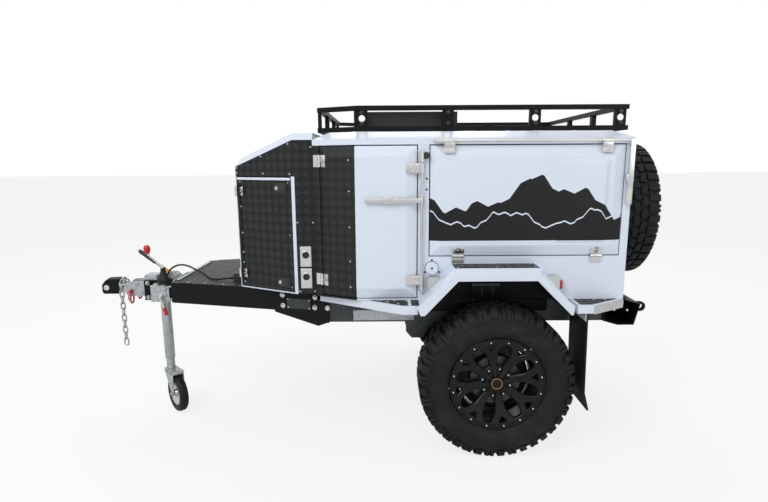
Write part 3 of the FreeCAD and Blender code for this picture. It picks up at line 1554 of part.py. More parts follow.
def make_sills():
    """White folded sills, recessed on top for their treads, with the flaps' brackets."""
    top = body_bottom_z - seat_gap
    shapes = []
    for plan, tread in zip(sill_plans(0), sill_plans(tread_setback)):
        block = prism_xy(plan, sill_low_z, top)
        under = prism_xy(inset(plan, sill_wall), sill_low_z - cut_margin, top - 2 * sill_wall)
        recess = prism_xy(inset(tread, sill_edge), top - sill_wall, top + cut_margin)
        shapes.append(block.cut(under).cut(recess))
    bracket = box(flap_x - flap_bracket_thickness - seat_gap, flap_x - seat_gap, -flap_outer_y,
                  -flap_inner_y,
                  flap_bracket_low_z, top - 2 * sill_wall)
    shapes[1] = join([shapes[1], bracket])
    return both(group(shapes))


def make_treads():
    """Chequer plates let into the tops of the sills."""
    top = body_bottom_z - seat_gap
    plans = [inset(tread, sill_edge + seat_gap) for tread in sill_plans(tread_setback)]
    plates = [prism_xy(plan, top - sill_wall + seat_gap, top) for plan in plans]
    return both(group(plates))


def make_strips():
    """Bare angled strips along the slanted ends of the rear sills, each with a brace to the chassis."""
    knee, end = V(tail_knee_x, -sill_half_width, 0), V(body_rear_x, -body_half_width, 0)
    run = V(end - knee).normalize()
    out = V(run.y, -run.x, 0)
    top = body_bottom_z - seat_gap - strip_thickness
    a, b = knee + out * seat_gap, end + out * seat_gap
    ring = [a, b, b + out * strip_thickness, a + out * strip_thickness]
    band = face([V(p.x, p.y, sill_low_z - strip_thickness) for p in ring]).extrude(
        V(0, 0, top - sill_low_z + strip_thickness))
    return both(band)


# Rear end
bumper_half_width = 600.0
bumper_top_x = 700.0
bumper_crest_x = 791.0
bumper_crest_z = 735.0
bumper_toe_x = 763.0
bumper_heel_x = 676.0
bumper_low_z = 620.0
bumper_wall = 6.0
eye_y = 560.0
eye_x = 806.0
eye_z = 712.0
eye_radius = 26.0
eye_hole_radius = 13.0
eye_thickness = 16.0
tail_lamp_y = 470.0
tail_lamp_length = 150.0
tail_lamp_thickness = 14.0
tail_lamp_shares = (0.18, 0.82)
carrier_plate_half = 130.0
carrier_plate_high = 160.0
carrier_plate_thickness = 10.0
carrier_post_radius = 55.0


def bumper_side():
    """Side outline of the folded bumper."""
    high = sill_low_z - seat_gap
    return [(rail_rear_x, rail_low_z), (rail_rear_x, high), (bumper_top_x, high),
            (bumper_crest_x, bumper_crest_z),
            (bumper_toe_x, bumper_low_z), (bumper_heel_x, bumper_low_z)]


def make_bumper():
    """Folded rear bumper, open at its ends, with two recovery eyes."""
    side = bumper_side()
    block = prism_xz(side, -bumper_half_width, bumper_half_width)
    hollow = prism_xz(inset(side, bumper_wall), -bumper_half_width - cut_margin,
                      bumper_half_width + cut_margin)
    shapes = [block.cut(hollow)]
    for sign in (-1, 1):
        y = sign * eye_y - eye_thickness / 2
        eye = Part.makeCylinder(eye_radius, eye_thickness, V(eye_x, y, eye_z), AXIS_Y)
        lug = box(bumper_toe_x, eye_x, y, y + eye_thickness, eye_z - eye_radius, eye_z + eye_radius)
        hole = Part.makeCylinder(eye_hole_radius, eye_thickness + 2 * cut_margin,
                                 V(eye_x, y - cut_margin, eye_z),
                                 AXIS_Y)
        shapes.append(eye.fuse(lug).cut(hole).cut(prism_xz(inset(side, bumper_wall), -body_half_width,
                                                           body_half_width)))
    return join(shapes)


def make_tail_lamps():
    """Lamp clusters on the bumper's rear face."""
    crest, toe = V(bumper_crest_x, 0, bumper_crest_z), V(bumper_toe_x, 0, bumper_low_z)
    run = V(toe - crest).normalize()
    out = V(-run.z, 0, run.x)
    length = (toe - crest).Length
    a, b = [crest + run * (length * share) for share in tail_lamp_shares]
    ring = [a + out * seat_gap, b + out * seat_gap, b + out * tail_lamp_thickness,
            a + out * tail_lamp_thickness]
    lamp = prism_xz([(p.x, p.z) for p in ring], -tail_lamp_y, -tail_lamp_y + tail_lamp_length)
    return both(lamp)


def make_flaps():
    """Rubber mud flaps behind the wheels, their lower edges curled to the rear."""
    t = flap_thickness
    x = flap_x
    mid_z = (flap_curl_z + sill_low_z) / 2
    side = [(x, sill_low_z - seat_gap), (x + t, sill_low_z - seat_gap), (x + t + flap_lean / 4, mid_z),
            (x + flap_lean, flap_curl_z), (x + flap_lean + flap_curl - t, flap_low_z),
            (x + flap_lean + flap_curl - 2 * t, flap_low_z - t / 2), (x + flap_lean - t, flap_curl_z),
            (x + flap_lean / 4, mid_z)]
    return both(prism_xz(side, -flap_outer_y, -flap_inner_y))


def make_carrier():
    """Spare wheel bracket on the rear wall."""
    x0, x1 = body_rear_x + seat_gap, body_rear_x + carrier_plate_thickness
    plate = box(x0, x1, -carrier_plate_half, carrier_plate_half, spare_z - carrier_plate_high,
                spare_z + carrier_plate_high)
    hub_x = spare_face_x - hub_disc_depth - hub_disc_thickness - seat_gap
    post = bar(V(x1, 0, spare_z), V(hub_x, 0, spare_z), carrier_post_radius)
    return join([plate, post])


# Roof rack
rack_post_width = 47.0
rack_post_hole = 16.0
rack_post_setback = 5.0
rack_post_sheet = 4.0
rack_post_flange = 22.0
rack_post_shares = (0.018, 0.336, 0.657, 0.971)
rack_cross_y = 200.0
rack_cross_half_width = 20.0
rack_cross_depth = 22.0
rack_stud = 18.0
rack_stud_shares = (0.06, 0.97)
rack_slat_shares = (0.0, 0.13, 0.26, 0.39, 0.52, 0.65, 0.78, 0.91)
rack_slat_front = 92.0
rack_slat_width = 70.0
rack_slat_rise = 4.0
rack_slat_thickness = 12.0
rack_foot_shares = (0.2, 0.57, 0.87)
rack_foot_length = 60.0
rack_foot_width = 24.0
box_front_x = -640.0
box_rear_x = -190.0
box_half_width = 580.0
box_ease = 3.0


def rack_outline():
    """Plan outline of the rack's outer edge."""
    side = [(rack_rear_x, rack_half_width), (rack_corner_x, rack_half_width),
            (rack_front_x, rack_front_half_width)]
    return left(side) + [(x, y) for x, y in reversed(side)]


def rack_ring(z0, z1):
    """One hoop of the rack's rails."""
    outline = rack_outline()
    hole = prism_xy(inset(outline, rack_rail_width), z0 - cut_margin, z1 + cut_margin)
    return prism_xy(outline, z0, z1).cut(hole)


def rack_post(x, z0, z1):
    """Flanged post with a round hole, on the left rail."""
    half, sheet_t = rack_post_width / 2, rack_post_sheet
    y = -rack_half_width + rack_post_setback
    centre = V(x, y - cut_margin, (z0 + z1) / 2)
    hole = bar(centre, centre + AXIS_Y * (sheet_t + 2 * cut_margin), rack_post_hole)
    post = box(x - half, x + half, y, y + sheet_t, z0, z1).cut(hole)
    flanges = [box(edge, edge + sheet_t, y, y + rack_post_flange, z0, z1) for edge in (x - half - sheet_t,
                                                                                       x + half)]
    return post.fuse(flanges)


def rack_corner_studs(z0, z1):
    """Short square studs in the left slanted front rail."""
    start = V(rack_front_x, -rack_front_half_width, 0)
    run = V(rack_corner_x, -rack_half_width, 0) - start
    shapes = []
    for share in rack_stud_shares:
        p = start + run * share
        y = p.y + rack_rail_width / 2
        shapes.append(box(p.x - rack_stud / 2, p.x + rack_stud / 2, y - rack_stud / 2, y + rack_stud / 2,
                          z0, z1))
    return shapes


def make_rack():
    """Rack frame: two hoops, posts, floor slats and feet."""
    z0, z1 = rack_low_z + rack_rail_height, rack_high_z - rack_rail_height
    length = rack_rear_x - rack_corner_x
    side_parts = [rack_post(rack_corner_x + share * length, z0, z1) for share in rack_post_shares]
    side_parts += rack_corner_studs(z0, z1)
    for x in (rack_rear_x - rack_cross_depth, rack_front_x + rack_post_setback):
        side_parts.append(box(x, x + rack_cross_depth, -rack_cross_y - rack_cross_half_width,
                              -rack_cross_y + rack_cross_half_width, z0, z1))
    for share in rack_foot_shares:
        x = rack_front_x + share * (rack_rear_x - rack_front_x)
        side_parts.append(box(x, x + rack_foot_length, -rack_half_width + rack_slat_rise,
                              -rack_half_width + rack_slat_rise + rack_foot_width, roof_top_z + seat_gap,
                              rack_low_z))
    parts = [rack_ring(rack_low_z, z0), rack_ring(z1, rack_high_z)]
    for shape in side_parts:
        parts += [shape, mirror(shape)]
    slope = (rack_half_width - rack_front_half_width) / (rack_corner_x - rack_front_x)
    for share in rack_slat_shares:
        x = rack_front_x + rack_slat_front + share * (rack_rear_x - rack_front_x - rack_slat_front)
        half = min(rack_half_width,
                   rack_front_half_width + (x - rack_front_x) * slope) - rack_rail_width / 2
        parts.append(box(x, x + rack_slat_width, -half, half, rack_low_z + rack_slat_rise,
                         rack_low_z + rack_slat_rise + rack_slat_thickness))
    return join(parts)


def make_rack_box():
    """Low black stowage box on the front half of the rack."""
    low = rack_low_z + rack_slat_rise + rack_slat_thickness + seat_gap
    high = rack_high_z - rack_rail_height - box_ease
    return box(box_front_x, box_rear_x, -box_half_width, box_half_width, low, high)


# Small fittings
filler_x = -325.0
filler_z = 965.0
filler_flange_radius = 46.0
filler_cap_radius = 33.0
filler_flange_thickness = 6.0
filler_cap_thickness = 10.0
stop_x = -352.0
stop_z = 1506.0
stop_radius = 9.0
stop_length = 20.0
socket_front_x = -983.0
socket_width = 57.0
outlet_rise = 84.0
outlet_pitch = 112.0
outlet_low_z = nose_bottom_z + outlet_rise
socket_zs = (outlet_low_z + outlet_pitch, outlet_low_z)
socket_half_height = 52.0
socket_radius = 17.0
socket_stand = 11.0
socket_raise = 10.0
lamp_length = 53.0
lamp_front_x = -345.0
lamp_rear_x = 240.0
lamp_crest = 12.0
lamp_outer = 48.0
lamp_inner = 8.0
junction_x = -1417.0
junction_y = 285.0
junction_length = 44.0
junction_width = 58.0
junction_height = 46.0


def make_fittings():
    """Filler cap and door stop on the left wall, and the two sockets on the nose box."""
    y = -body_half_width
    step = y - filler_flange_thickness
    flange = disc(V(filler_x, y, filler_z), V(filler_x, step, filler_z), filler_flange_radius)
    cap = disc(V(filler_x, step, filler_z), V(filler_x, step - filler_cap_thickness, filler_z),
               filler_cap_radius)
    shapes = [flange.fuse(cap), bar(V(stop_x, y, stop_z), V(stop_x, y - stop_length, stop_z), stop_radius)]
    plate_y = -front_half_width - strip_thickness
    for z in socket_zs:
        plate = box(socket_front_x, socket_front_x + socket_width, plate_y, -front_half_width,
                    z - socket_half_height, z + socket_half_height)
        centre = V(socket_front_x + socket_width / 2, plate_y, z + socket_raise)
        shapes.append(plate.fuse(disc(centre, centre - AXIS_Y * socket_stand, socket_radius)))
    return group(shapes)


def make_junction_box():
    """Junction box of the lighting lead, on the drawbar's deck."""
    z0 = draw_high_z + sheet
    return box(junction_x, junction_x + junction_length, -junction_y - junction_width, -junction_y, z0,
               z0 + junction_height)


def make_lamps():
    """Marker lamps standing on the mudguards' flanks, beside the body."""
    top = guard_outlines()[0]
    shapes = []
    for low, high, x0 in ((top[0], top[1], lamp_front_x), (top[3], top[2], lamp_rear_x)):
        x1 = x0 + lamp_length

        def flank(x):
            return low[1] + (x - low[0]) / (high[0] - low[0]) * (high[1] - low[1]) + 2 * seat_gap
        crest = max(flank(x0), flank(x1)) + lamp_crest
        outline = [(x0, flank(x0)), (x1, flank(x1)), (x1, crest), (x0, crest)]
        shapes.append(prism_xz(outline, -body_half_width - lamp_outer, -body_half_width - lamp_inner))
    return both(group(shapes))


# Cords
lead_radius = 5.5
lead_route = [
    (-1417.3, -314.0, 826.0), (-1457.0, -314.0, 826.0), (-1514.0, -318.0, 818.5), (-1567.0, -284.0, 818.5),
    (-1608.0, -206.0, 818.5), (-1662.0, -112.0, 818.5), (-1718.0, -66.0, 822.0), (-1764.0, -46.0, 842.0),
    (-1808.0, -38.0, 855.0), (-1852.0, -38.0, 852.0), (-1890.0, -38.0, 832.0), (-1915.0, -37.0, 800.0),
    (-1924.0, -36.0, 762.3)]


arc_share = 0.45


def cord_path(points):
    """Centre line of a cord, straight runs with tangent arcs, and the arcs' radii."""
    edges, radii, start = [], [], points[0]
    for before, corner, after in zip(points, points[1:], points[2:]):
        back, ahead = V(before - corner), V(after - corner)
        half_turn = (math.pi - back.getAngle(ahead)) / 2
        reach = arc_share * min(back.Length, ahead.Length)
        radius = reach / math.tan(half_turn)
        back.normalize()
        ahead.normalize()
        enter, leave = corner + back * reach, corner + ahead * reach
        inward = V(back + ahead).normalize()
        middle = corner + inward * (radius / math.cos(half_turn) - radius)
        edges += [Part.makeLine(start, enter), Part.Arc(enter, middle, leave).toShape()]
        radii.append(radius)
        start = leave
    edges.append(Part.makeLine(start, points[-1]))
    return Part.Wire(edges), radii


def make_lead():
    """Lighting lead from the junction box over the crossbeam to the centre beam."""
    points = [V(*point) for point in lead_route]
    path, radii = cord_path(points)
    print("lead_cord bend radii in mm:", " ".join(str(int(radius)) for radius in radii))
    print("lead_cord length in mm:", int(path.Length))
    section = Part.Wire(Part.makeCircle(lead_radius, points[0], points[1] - points[0]))
    return path.makePipeShell([section], True, False)


def build():
    """Make and save every piece."""
    os.makedirs("parts", exist_ok=True)
    save("body_shell", make_body_shell())
    save("roof_panel", make_roof())
    save("nose_box", make_nose_box())
    save("nose_lid", make_nose_lid())
    door, hatch, nose_door = make_side_door(), make_hatch(), make_nose_door()
    door_lock, hatch_lock = make_side_door_lock(), make_hatch_lock()
    for name, shape in (("side_door", door), ("hatch", hatch), ("nose_door", nose_door),
                        ("side_door_lock", door_lock), ("hatch_lock", hatch_lock)):
        save(name + "_left", shape)
        save(name + "_right", mirror(shape))
    save("hinges", make_hinges())
    tyre, rim, drum = make_tyre(), make_rim(), make_drum()
    tyre = moved(tyre, V(0, rim_width / 2, 0))
    for name, sign in (("left", -1), ("right", 1)):
        save("wheel_tyre_" + name, at_wheel(tyre, sign, 0, tyre_radius))
        save("wheel_rim_" + name, at_wheel(rim, sign, 0, tyre_radius))
        save("brake_drum_" + name, at_wheel(drum, sign, 0, tyre_radius))
    for name, shape in (("spare_tyre", tyre), ("spare_rim", rim)):
        upright = turned(shape, ORIGIN, UP, 90)
        save(name, moved(upright, V(spare_face_x, 0, spare_z)))
    save("trailing_arms", both(make_arm()))
    save("coil_springs", both(make_spring()))
    save("dampers", both(make_damper()))
    chassis, towers = make_chassis(), make_tower()
    save("chassis_frame", join([chassis] + towers + [mirror(s) for s in towers]))
    save("drawbar_frame", make_drawbar())
    save("drawbar_deck", make_deck())
    save("overrun_coupling", make_overrun())
    save("coupling_head", make_coupling_head())
    save("tow_shackles", make_shackles())
    save("safety_chain", make_chain())
    save("handbrake_lever", make_handbrake())
    save("jockey_clamp", make_clamp())
    save("jockey_tube", make_jockey_tube())
    save("jockey_fork", make_fork())
    jockey_rim, jockey_tyre = make_jockey_wheel()
    save("jockey_rim", jockey_rim)
    save("jockey_tyre", jockey_tyre)
    save("mudguards", make_mudguards())
    save("arch_liners", make_liners())
    save("side_sills", make_sills())
    save("step_treads", make_treads())
    save("sill_strips", make_strips())
    save("rear_bumper", make_bumper())
    save("tail_lamps", make_tail_lamps())
    save("mud_flaps", make_flaps())
    save("spare_carrier", make_carrier())
    save("roof_rack", make_rack())
    save("rack_box", make_rack_box())
    save("body_fittings", make_fittings())
    save("junction_box", make_junction_box())
    save("marker_lamps", make_lamps())
    save("lead_cord", make_lead())


build()
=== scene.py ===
"""Hard-shell off-road camping trailer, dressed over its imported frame."""
import logging
import math
from dataclasses import dataclass, field
from enum import Enum
from typing import Iterable, Sequence

import bmesh
import bpy
from mathutils import Matrix, Vector


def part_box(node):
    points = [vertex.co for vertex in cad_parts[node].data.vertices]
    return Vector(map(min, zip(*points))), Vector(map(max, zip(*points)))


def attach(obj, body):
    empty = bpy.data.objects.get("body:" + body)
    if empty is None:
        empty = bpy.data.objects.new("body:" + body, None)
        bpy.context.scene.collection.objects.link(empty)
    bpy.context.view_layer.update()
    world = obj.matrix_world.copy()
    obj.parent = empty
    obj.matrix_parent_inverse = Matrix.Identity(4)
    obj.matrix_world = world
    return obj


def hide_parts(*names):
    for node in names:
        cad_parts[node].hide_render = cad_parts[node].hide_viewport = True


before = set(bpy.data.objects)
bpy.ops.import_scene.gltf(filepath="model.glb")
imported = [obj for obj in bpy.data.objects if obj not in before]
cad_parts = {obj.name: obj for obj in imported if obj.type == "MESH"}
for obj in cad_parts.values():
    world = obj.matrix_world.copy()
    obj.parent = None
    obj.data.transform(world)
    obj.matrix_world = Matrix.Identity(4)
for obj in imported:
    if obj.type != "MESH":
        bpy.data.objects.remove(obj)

Pair = tuple[float, float]
Triple = tuple[float, float, float]
Profile = Sequence[Pair]
Places = list[tuple[Vector, Vector]]

log = logging.getLogger("trailer")
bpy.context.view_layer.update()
AXLE_X = 0.680
TAU = 2 * math.pi
AXIS_X, AXIS_Y, AXIS_Z = Vector((1, 0, 0)), Vector((0, 1, 0)), Vector((0, 0, 1))
MIRROR = Matrix.Scale(-1, 4, AXIS_Y)
WHITE_LIGHT = (1.0, 1.0, 1.0, 1.0)
SMOOTH_ANGLE = 35.0
# Sockets of a colour mix by number, because their names repeat
MIX_SHARE, MIX_FIRST, MIX_SECOND, MIX_RESULT = 0, 6, 7, 2


class Side(Enum):
    """A side of the trailer, by its word in names."""

    LEFT = "left"
    RIGHT = "right"


class Lie(Enum):
    """How a tread plate lies, which decides the plane of its pattern."""

    UPRIGHT = "upright"
    FLAT = "flat"


def mm(x: float, y: float, z: float) -> Vector:
    """Point of the part's frame from millimetres about the axle.

    Args:
        x: Distance behind the axle.
        y: Distance to the trailer's right.
        z: Height over the ground.

    Returns:
        The point in metres.
    """
    return Vector((x / 1000 + AXLE_X, y / 1000, z / 1000))


# Shader expressions

class Wire:
    """A socket that shader maths is written with."""

    def __init__(self, graph: "Graph", socket: bpy.types.NodeSocket) -> None:
        self.graph, self.socket = graph, socket

    def __add__(self, other: "Wire | float") -> "Wire":
        return self.graph.math("ADD", self, other)

    def __radd__(self, other: float) -> "Wire":
        return self.graph.math("ADD", other, self)

    def __sub__(self, other: "Wire | float") -> "Wire":
        return self.graph.math("SUBTRACT", self, other)

    def __rsub__(self, other: float) -> "Wire":
        return self.graph.math("SUBTRACT", other, self)

    def __mul__(self, other: "Wire | float") -> "Wire":
        return self.graph.math("MULTIPLY", self, other)

    def __truediv__(self, other: "Wire | float") -> "Wire":
        return self.graph.math("DIVIDE", self, other)

    def __gt__(self, other: "Wire | float") -> "Wire":
        return self.graph.math("GREATER_THAN", self, other)

    def __lt__(self, other: "Wire | float") -> "Wire":
        return self.graph.math("LESS_THAN", self, other)

    def __abs__(self) -> "Wire":
        return self.graph.math("ABSOLUTE", self)

    def floor(self) -> "Wire":
        """Whole part below the value."""
        return self.graph.math("FLOOR", self)

    def fract(self) -> "Wire":
        """Part over the whole number below."""
        return self.graph.math("FRACT", self)

    def modulo(self, other: float) -> "Wire":
        """Remainder of a division, never negative."""
        return self.graph.math("FLOORED_MODULO", self, other)

    def clamp(self) -> "Wire":
        """Value kept between 0 and 1."""
        return self.graph.math("MAXIMUM", self.graph.math("MINIMUM", self, 1.0), 0.0)

    def step(self, low: float, high: float) -> "Wire":
        """Smooth step from 0 at low to 1 at high."""
        node = self.graph.node("ShaderNodeMapRange", {"Value": self, "From Min": low, "From Max": high},
                               interpolation_type="SMOOTHSTEP")
        return Wire(self.graph, node.outputs["Result"])

    def tent(self) -> "Wire":
        """Triangle wave, 0 at whole numbers and 1 halfway between them."""
        return 1.0 - abs(self.fract() * 2.0 - 1.0)


class Nodes:
    """A node tree with the method that makes its nodes."""

    def __init__(self, tree: bpy.types.NodeTree) -> None:
        self.tree = tree

    def node(self, kind: str, inputs: dict[str | int, object] | None = None,
             **settings: object) -> bpy.types.Node:
        """Make a node.

        Args:
            kind: Type name of the node.
            inputs: Values, sockets or wires by socket name or number.
            **settings: Attributes of the node.

        Returns:
            The new node.
        """
        made = self.tree.nodes.new(kind)
        for key, value in settings.items():
            setattr(made, key, value)
        for key, value in (inputs or {}).items():
            source = value.socket if isinstance(value, Wire) else value
            if isinstance(source, bpy.types.NodeSocket):
                self.tree.links.new(source, made.inputs[key])
            else:
                made.inputs[key].default_value = source
        return made

    def maths(self, operation: str, *values: object) -> bpy.types.NodeSocket:
        """Result of a math node of one operation."""
        return self.node("ShaderNodeMath", dict(enumerate(values)), operation=operation).outputs[0]


class Graph(Nodes):
    """A material's node tree."""

    def __init__(self, name: str) -> None:
        self.material = bpy.data.materials.new(name)
        self.material.use_nodes = True
        super().__init__(self.material.node_tree)
        self.tree.nodes.clear()

    def math(self, operation: str, *values: Wire | float) -> Wire:
        """Wire of a math node."""
        return Wire(self, self.maths(operation, *values))

    def point(self) -> Wire:
        """Object coordinates, which are the part's frame."""
        return Wire(self, self.node("ShaderNodeTexCoord").outputs["Object"])

    def axes(self) -> tuple[Wire, Wire, Wire]:
        """The three object coordinates."""
        parts = self.node("ShaderNodeSeparateXYZ", {0: self.point()})
        return tuple(Wire(self, parts.outputs[i]) for i in range(3))

    def noise(self, scale: float, detail: float = 3.0, stretch: Triple = (1, 1, 1)) -> Wire:
        """Noise over the object coordinates."""
        mapped = self.node("ShaderNodeMapping", {"Vector": self.point(), "Scale": stretch})
        made = self.node("ShaderNodeTexNoise", {"Vector": mapped.outputs[0], "Scale": scale,
                                                "Detail": detail})
        return Wire(self, made.outputs[0])

    def cells(self, scale: float) -> Wire:
        """A different shade in each cell of a Voronoi pattern."""
        made = self.node("ShaderNodeTexVoronoi", {"Vector": self.point(), "Scale": scale})
        parts = self.node("ShaderNodeSeparateXYZ", {0: made.outputs["Color"]})
        return Wire(self, parts.outputs[0])

    def blend(self, share: Wire | float, first: Wire | Triple, second: Wire | Triple) -> Wire:
        """Colour between two colours."""
        colours = [item if isinstance(item, Wire) else (*item, 1.0) for item in (first, second)]
        made = self.node("ShaderNodeMix", {MIX_SHARE: share, MIX_FIRST: colours[0], MIX_SECOND: colours[1]},
                         data_type="RGBA")
        return Wire(self, made.outputs[MIX_RESULT])

    def dust(self, share: float) -> Wire:
        """Share of dust on a coat, in large clouds."""
        return self.noise(2.3, 6.0).step(0.45, 0.8) * share

    def edges(self, radius: float) -> Wire:
        """Normals rounded over the object's edges."""
        return Wire(self, self.node("ShaderNodeBevel", {"Radius": radius}, samples=4).outputs[0])

    def bump(self, height: Wire, depth: float, strength: float = 1.0, normal: Wire | None = None) -> Wire:
        """Bumped normals."""
        inputs = {"Height": height, "Distance": depth, "Strength": strength}
        if normal is not None:
            inputs["Normal"] = normal
        return Wire(self, self.node("ShaderNodeBump", inputs).outputs[0])

    def peel(self, depth: float, edge: float) -> Wire:
        """Normals of a coat's orange peel, rounded over edges of a radius."""
        return self.bump(self.noise(900.0, 1.0), depth, 0.6, self.edges(edge))

    def shader(self, colour: Wire | Triple, roughness: Wire | float, normal: Wire | None = None,
               metallic: float = 0.0, **others: Wire | float) -> Wire:
        """Make the principled shader.

        Args:
            colour: Base colour.
            roughness: Roughness of the surface.
            normal: Shading normals, if not plain.
            metallic: 1 for bare metal.
            **others: Other sockets by name, spaces as underscores.

        Returns:
            The shader.
        """
        base = colour if isinstance(colour, Wire) else (*colour, 1.0)
        inputs: dict[str | int, object] = {"Base Color": base, "Roughness": roughness, "Metallic": metallic}
        if normal is not None:
            inputs["Normal"] = normal
        inputs.update({key.replace("_", " "): value for key, value in others.items()})
        return Wire(self, self.node("ShaderNodeBsdfPrincipled", inputs).outputs[0])

    def close(self, surface: Wire) -> bpy.types.Material:
        """End the tree with a shader and return its material."""
        self.node("ShaderNodeOutputMaterial", {"Surface": surface})
        return self.material


# Finishes

WHITE_COAT: Triple = (0.66, 0.72, 0.82)
WHITE_DIRT: Triple = (0.55, 0.58, 0.62)
PRINT_INK: Triple = (0.005, 0.005, 0.006)
PLATE_BLACK: Triple = (0.0055, 0.006, 0.006)
PLATE_WORN_AND_LIT: Triple = (0.062, 0.067, 0.069)
COAT_ROUGHNESS = 0.12
PEEL_DEPTH = 0.00012
COAT_EDGE = 0.0022
BAR_HEIGHT = 0.0016


class Finish:
    """Base of the finishes; each one builds its material once."""

    name: str
    made: dict[object, bpy.types.Material] = {}

    def material(self) -> bpy.types.Material:
        """The finish's material."""
        if self not in Finish.made:
            graph = Graph(self.name)
            Finish.made[self] = graph.close(self.build(graph))
        return Finish.made[self]

    def build(self, graph: Graph) -> Wire:
        """Build the nodes.

        Args:
            graph: Empty tree that takes them.

        Returns:
            The finish's shader.
        """
        raise NotImplementedError


@dataclass(frozen=True)
class PowderCoat(Finish):
    """Sprayed coat with a fine orange peel and faint dirt."""

    name: str = "white_coat"
    colour: Triple = WHITE_COAT
    dirt: Triple = WHITE_DIRT
    dirt_share: float = 0.22
    roughness: float = 0.32
    peel: float = PEEL_DEPTH
    edge: float = COAT_EDGE
    coat: float = 0.25
    specular: float = 0.5

    def build(self, graph: Graph) -> Wire:
        """Coat with clouds of dust, and darker towards the bottom."""
        z = graph.axes()[2]
        low = (1.0 - z.step(0.5, 1.1)) * self.dirt_share
        colour = graph.blend((graph.dust(self.dirt_share) + low * 0.5).clamp(), self.colour, self.dirt)
        rough = graph.noise(9.0) * 0.12 + (self.roughness - 0.06)
        return graph.shader(colour, rough, graph.peel(self.peel, self.edge), Coat_Weight=self.coat,
                            Coat_Roughness=COAT_ROUGHNESS, Specular_IOR_Level=self.specular)


def ridge(x: Wire, base: float, rise: float, scale: float, seed: float) -> Wire:
    """Height of a line of hills over the trailer's length.

    Args:
        x: Coordinate along the trailer.
        base: Lowest height.
        rise: Height of the tallest hill over the base.
        scale: Number of hills a metre.
        seed: Start of the line.

    Returns:
        The height of the line.
    """
    large, small, tiny = ((x * (scale * pace) + seed * start).tent() * (rise * share)
                          for pace, start, share in ((1.0, 1.0, 0.62), (2.7, 1.7, 0.26), (7.3, 2.9, 0.09)))
    return large + small + tiny + base


@dataclass(frozen=True)
class HillPrint(Finish):
    """White coat with a plain printed line of black hills."""

    name: str = "hill_print"
    base_z: float = 1.165
    rise: float = 0.27
    foot_z: float = 1.10
    line: float = 0.007

    def build(self, graph: Graph) -> Wire:
        """Ink below the far hills, with a white line along the near ones."""
        x, _, z = graph.axes()
        far = ridge(x, self.base_z + 0.02, self.rise, 1.35, 0.31)
        near = ridge(x, self.foot_z + 0.035, self.rise * 0.5, 2.4, 0.77)
        body = (z < far) * (z > self.foot_z)
        gap = (z < near + self.line) * (z > near)
        ink = (body * (1.0 - gap)).clamp()
        white = graph.blend(graph.dust(0.2), WHITE_COAT, WHITE_DIRT)
        rough = graph.noise(9.0) * 0.1 + 0.27 + ink * 0.08
        return graph.shader(graph.blend(ink, white, PRINT_INK), rough, graph.peel(PEEL_DEPTH, COAT_EDGE),
                            Coat_Weight=(1.0 - ink) * 0.25, Coat_Roughness=COAT_ROUGHNESS,
                            Specular_IOR_Level=0.3)


def tread_bars(across: Wire, up: Wire, pitch: float) -> Wire:
    """Five raised bars in each cell of a slanted grid, turned a quarter from cell to cell.

    Args:
        across: First coordinate over the plate.
        up: Second coordinate over the plate.
        pitch: Length of a cell's diagonal.

    Returns:
        Height of the pattern between 0 and 1.
    """
    u, v = (across + up) / pitch, (across - up) / pitch
    parity = (u.floor() + v.floor()).modulo(2.0)
    a, b = u.fract(), v.fract()
    along = a * parity + b * (1.0 - parity)
    over = b * parity + a * (1.0 - parity)
    ends = 1.0 - abs(along * 2.0 - 1.0)
    # Bars of every other cell are weighted down to 0.22, so those cells come out darker and the others paler,
    # in colour as well as bump: painted light and shade of bars that run two ways
    return (over * 5.0).tent().step(0.3, 0.8) * ends.step(0.05, 0.2) * (parity * 0.78 + 0.22)


def worn_and_lit_bars(graph: Graph, bars: Wire, dark: Triple, worn: Triple) -> Wire:
    """Colour of a tread plate that is worn along its bars, and paler in every other cell as painted light."""
    return graph.blend(bars * (graph.noise(60.0) * 0.5 + 0.6), dark, worn)


@dataclass(frozen=True)
class Chequer(Finish):
    """Black tread plate; upright plates ahead of front_x face forward and the others sideways."""

    name: str = "chequer_side"
    lie: Lie = Lie.UPRIGHT
    pitch: float = 0.045
    front_x: float = -0.6585
    slant: float = 0.26
    colour: Triple = PLATE_BLACK
    # Paler bar colour: wear, and painted light in every other cell
    worn: Triple = PLATE_WORN_AND_LIT
    specular: float = 0.22

    def build(self, graph: Graph) -> Wire:
        """Raised bars, smoother and paler than the plate from wear, with painted light on every other cell."""
        x, y, z = graph.axes()
        if self.lie is Lie.FLAT:
            across, up = x, y
        else:
            front = x < self.front_x
            across, up = y * front + (x + abs(y) * self.slant) * (1.0 - front), z
        bars = tread_bars(across, up, self.pitch)
        rough = 0.36 + graph.noise(25.0) * 0.14 - bars * 0.1
        normal = graph.bump(bars, BAR_HEIGHT, 1.0, graph.edges(0.0015))
        return graph.shader(worn_and_lit_bars(graph, bars, self.colour, self.worn), rough, normal,
                            Specular_IOR_Level=self.specular)


@dataclass(frozen=True)
class TwoTone(Finish):
    """White coat behind a fold line and black tread plate before it."""

    name: str = "white_and_plate"
    fold_x: float = -0.014
    pitch: float = 0.045
    slant: float = 0.3

    def build(self, graph: Graph) -> Wire:
        """Plate and coat parted at the fold."""
        x, y, z = graph.axes()
        bars = tread_bars(x + abs(y) * self.slant, z, self.pitch)
        plate = x < self.fold_x
        dark = worn_and_lit_bars(graph, bars, PLATE_BLACK, PLATE_WORN_AND_LIT)
        white = graph.blend(graph.dust(0.2), WHITE_COAT, WHITE_DIRT)
        height = bars * plate
        normal = graph.bump(height, BAR_HEIGHT, 1.0, graph.edges(COAT_EDGE))
        rough = graph.noise(9.0) * 0.12 + 0.26 + plate * 0.1 - height * 0.1
        return graph.shader(graph.blend(plate, white, dark), rough, normal, Coat_Weight=(1.0 - plate) * 0.3,
                            Coat_Roughness=COAT_ROUGHNESS, Specular_IOR_Level=0.25)


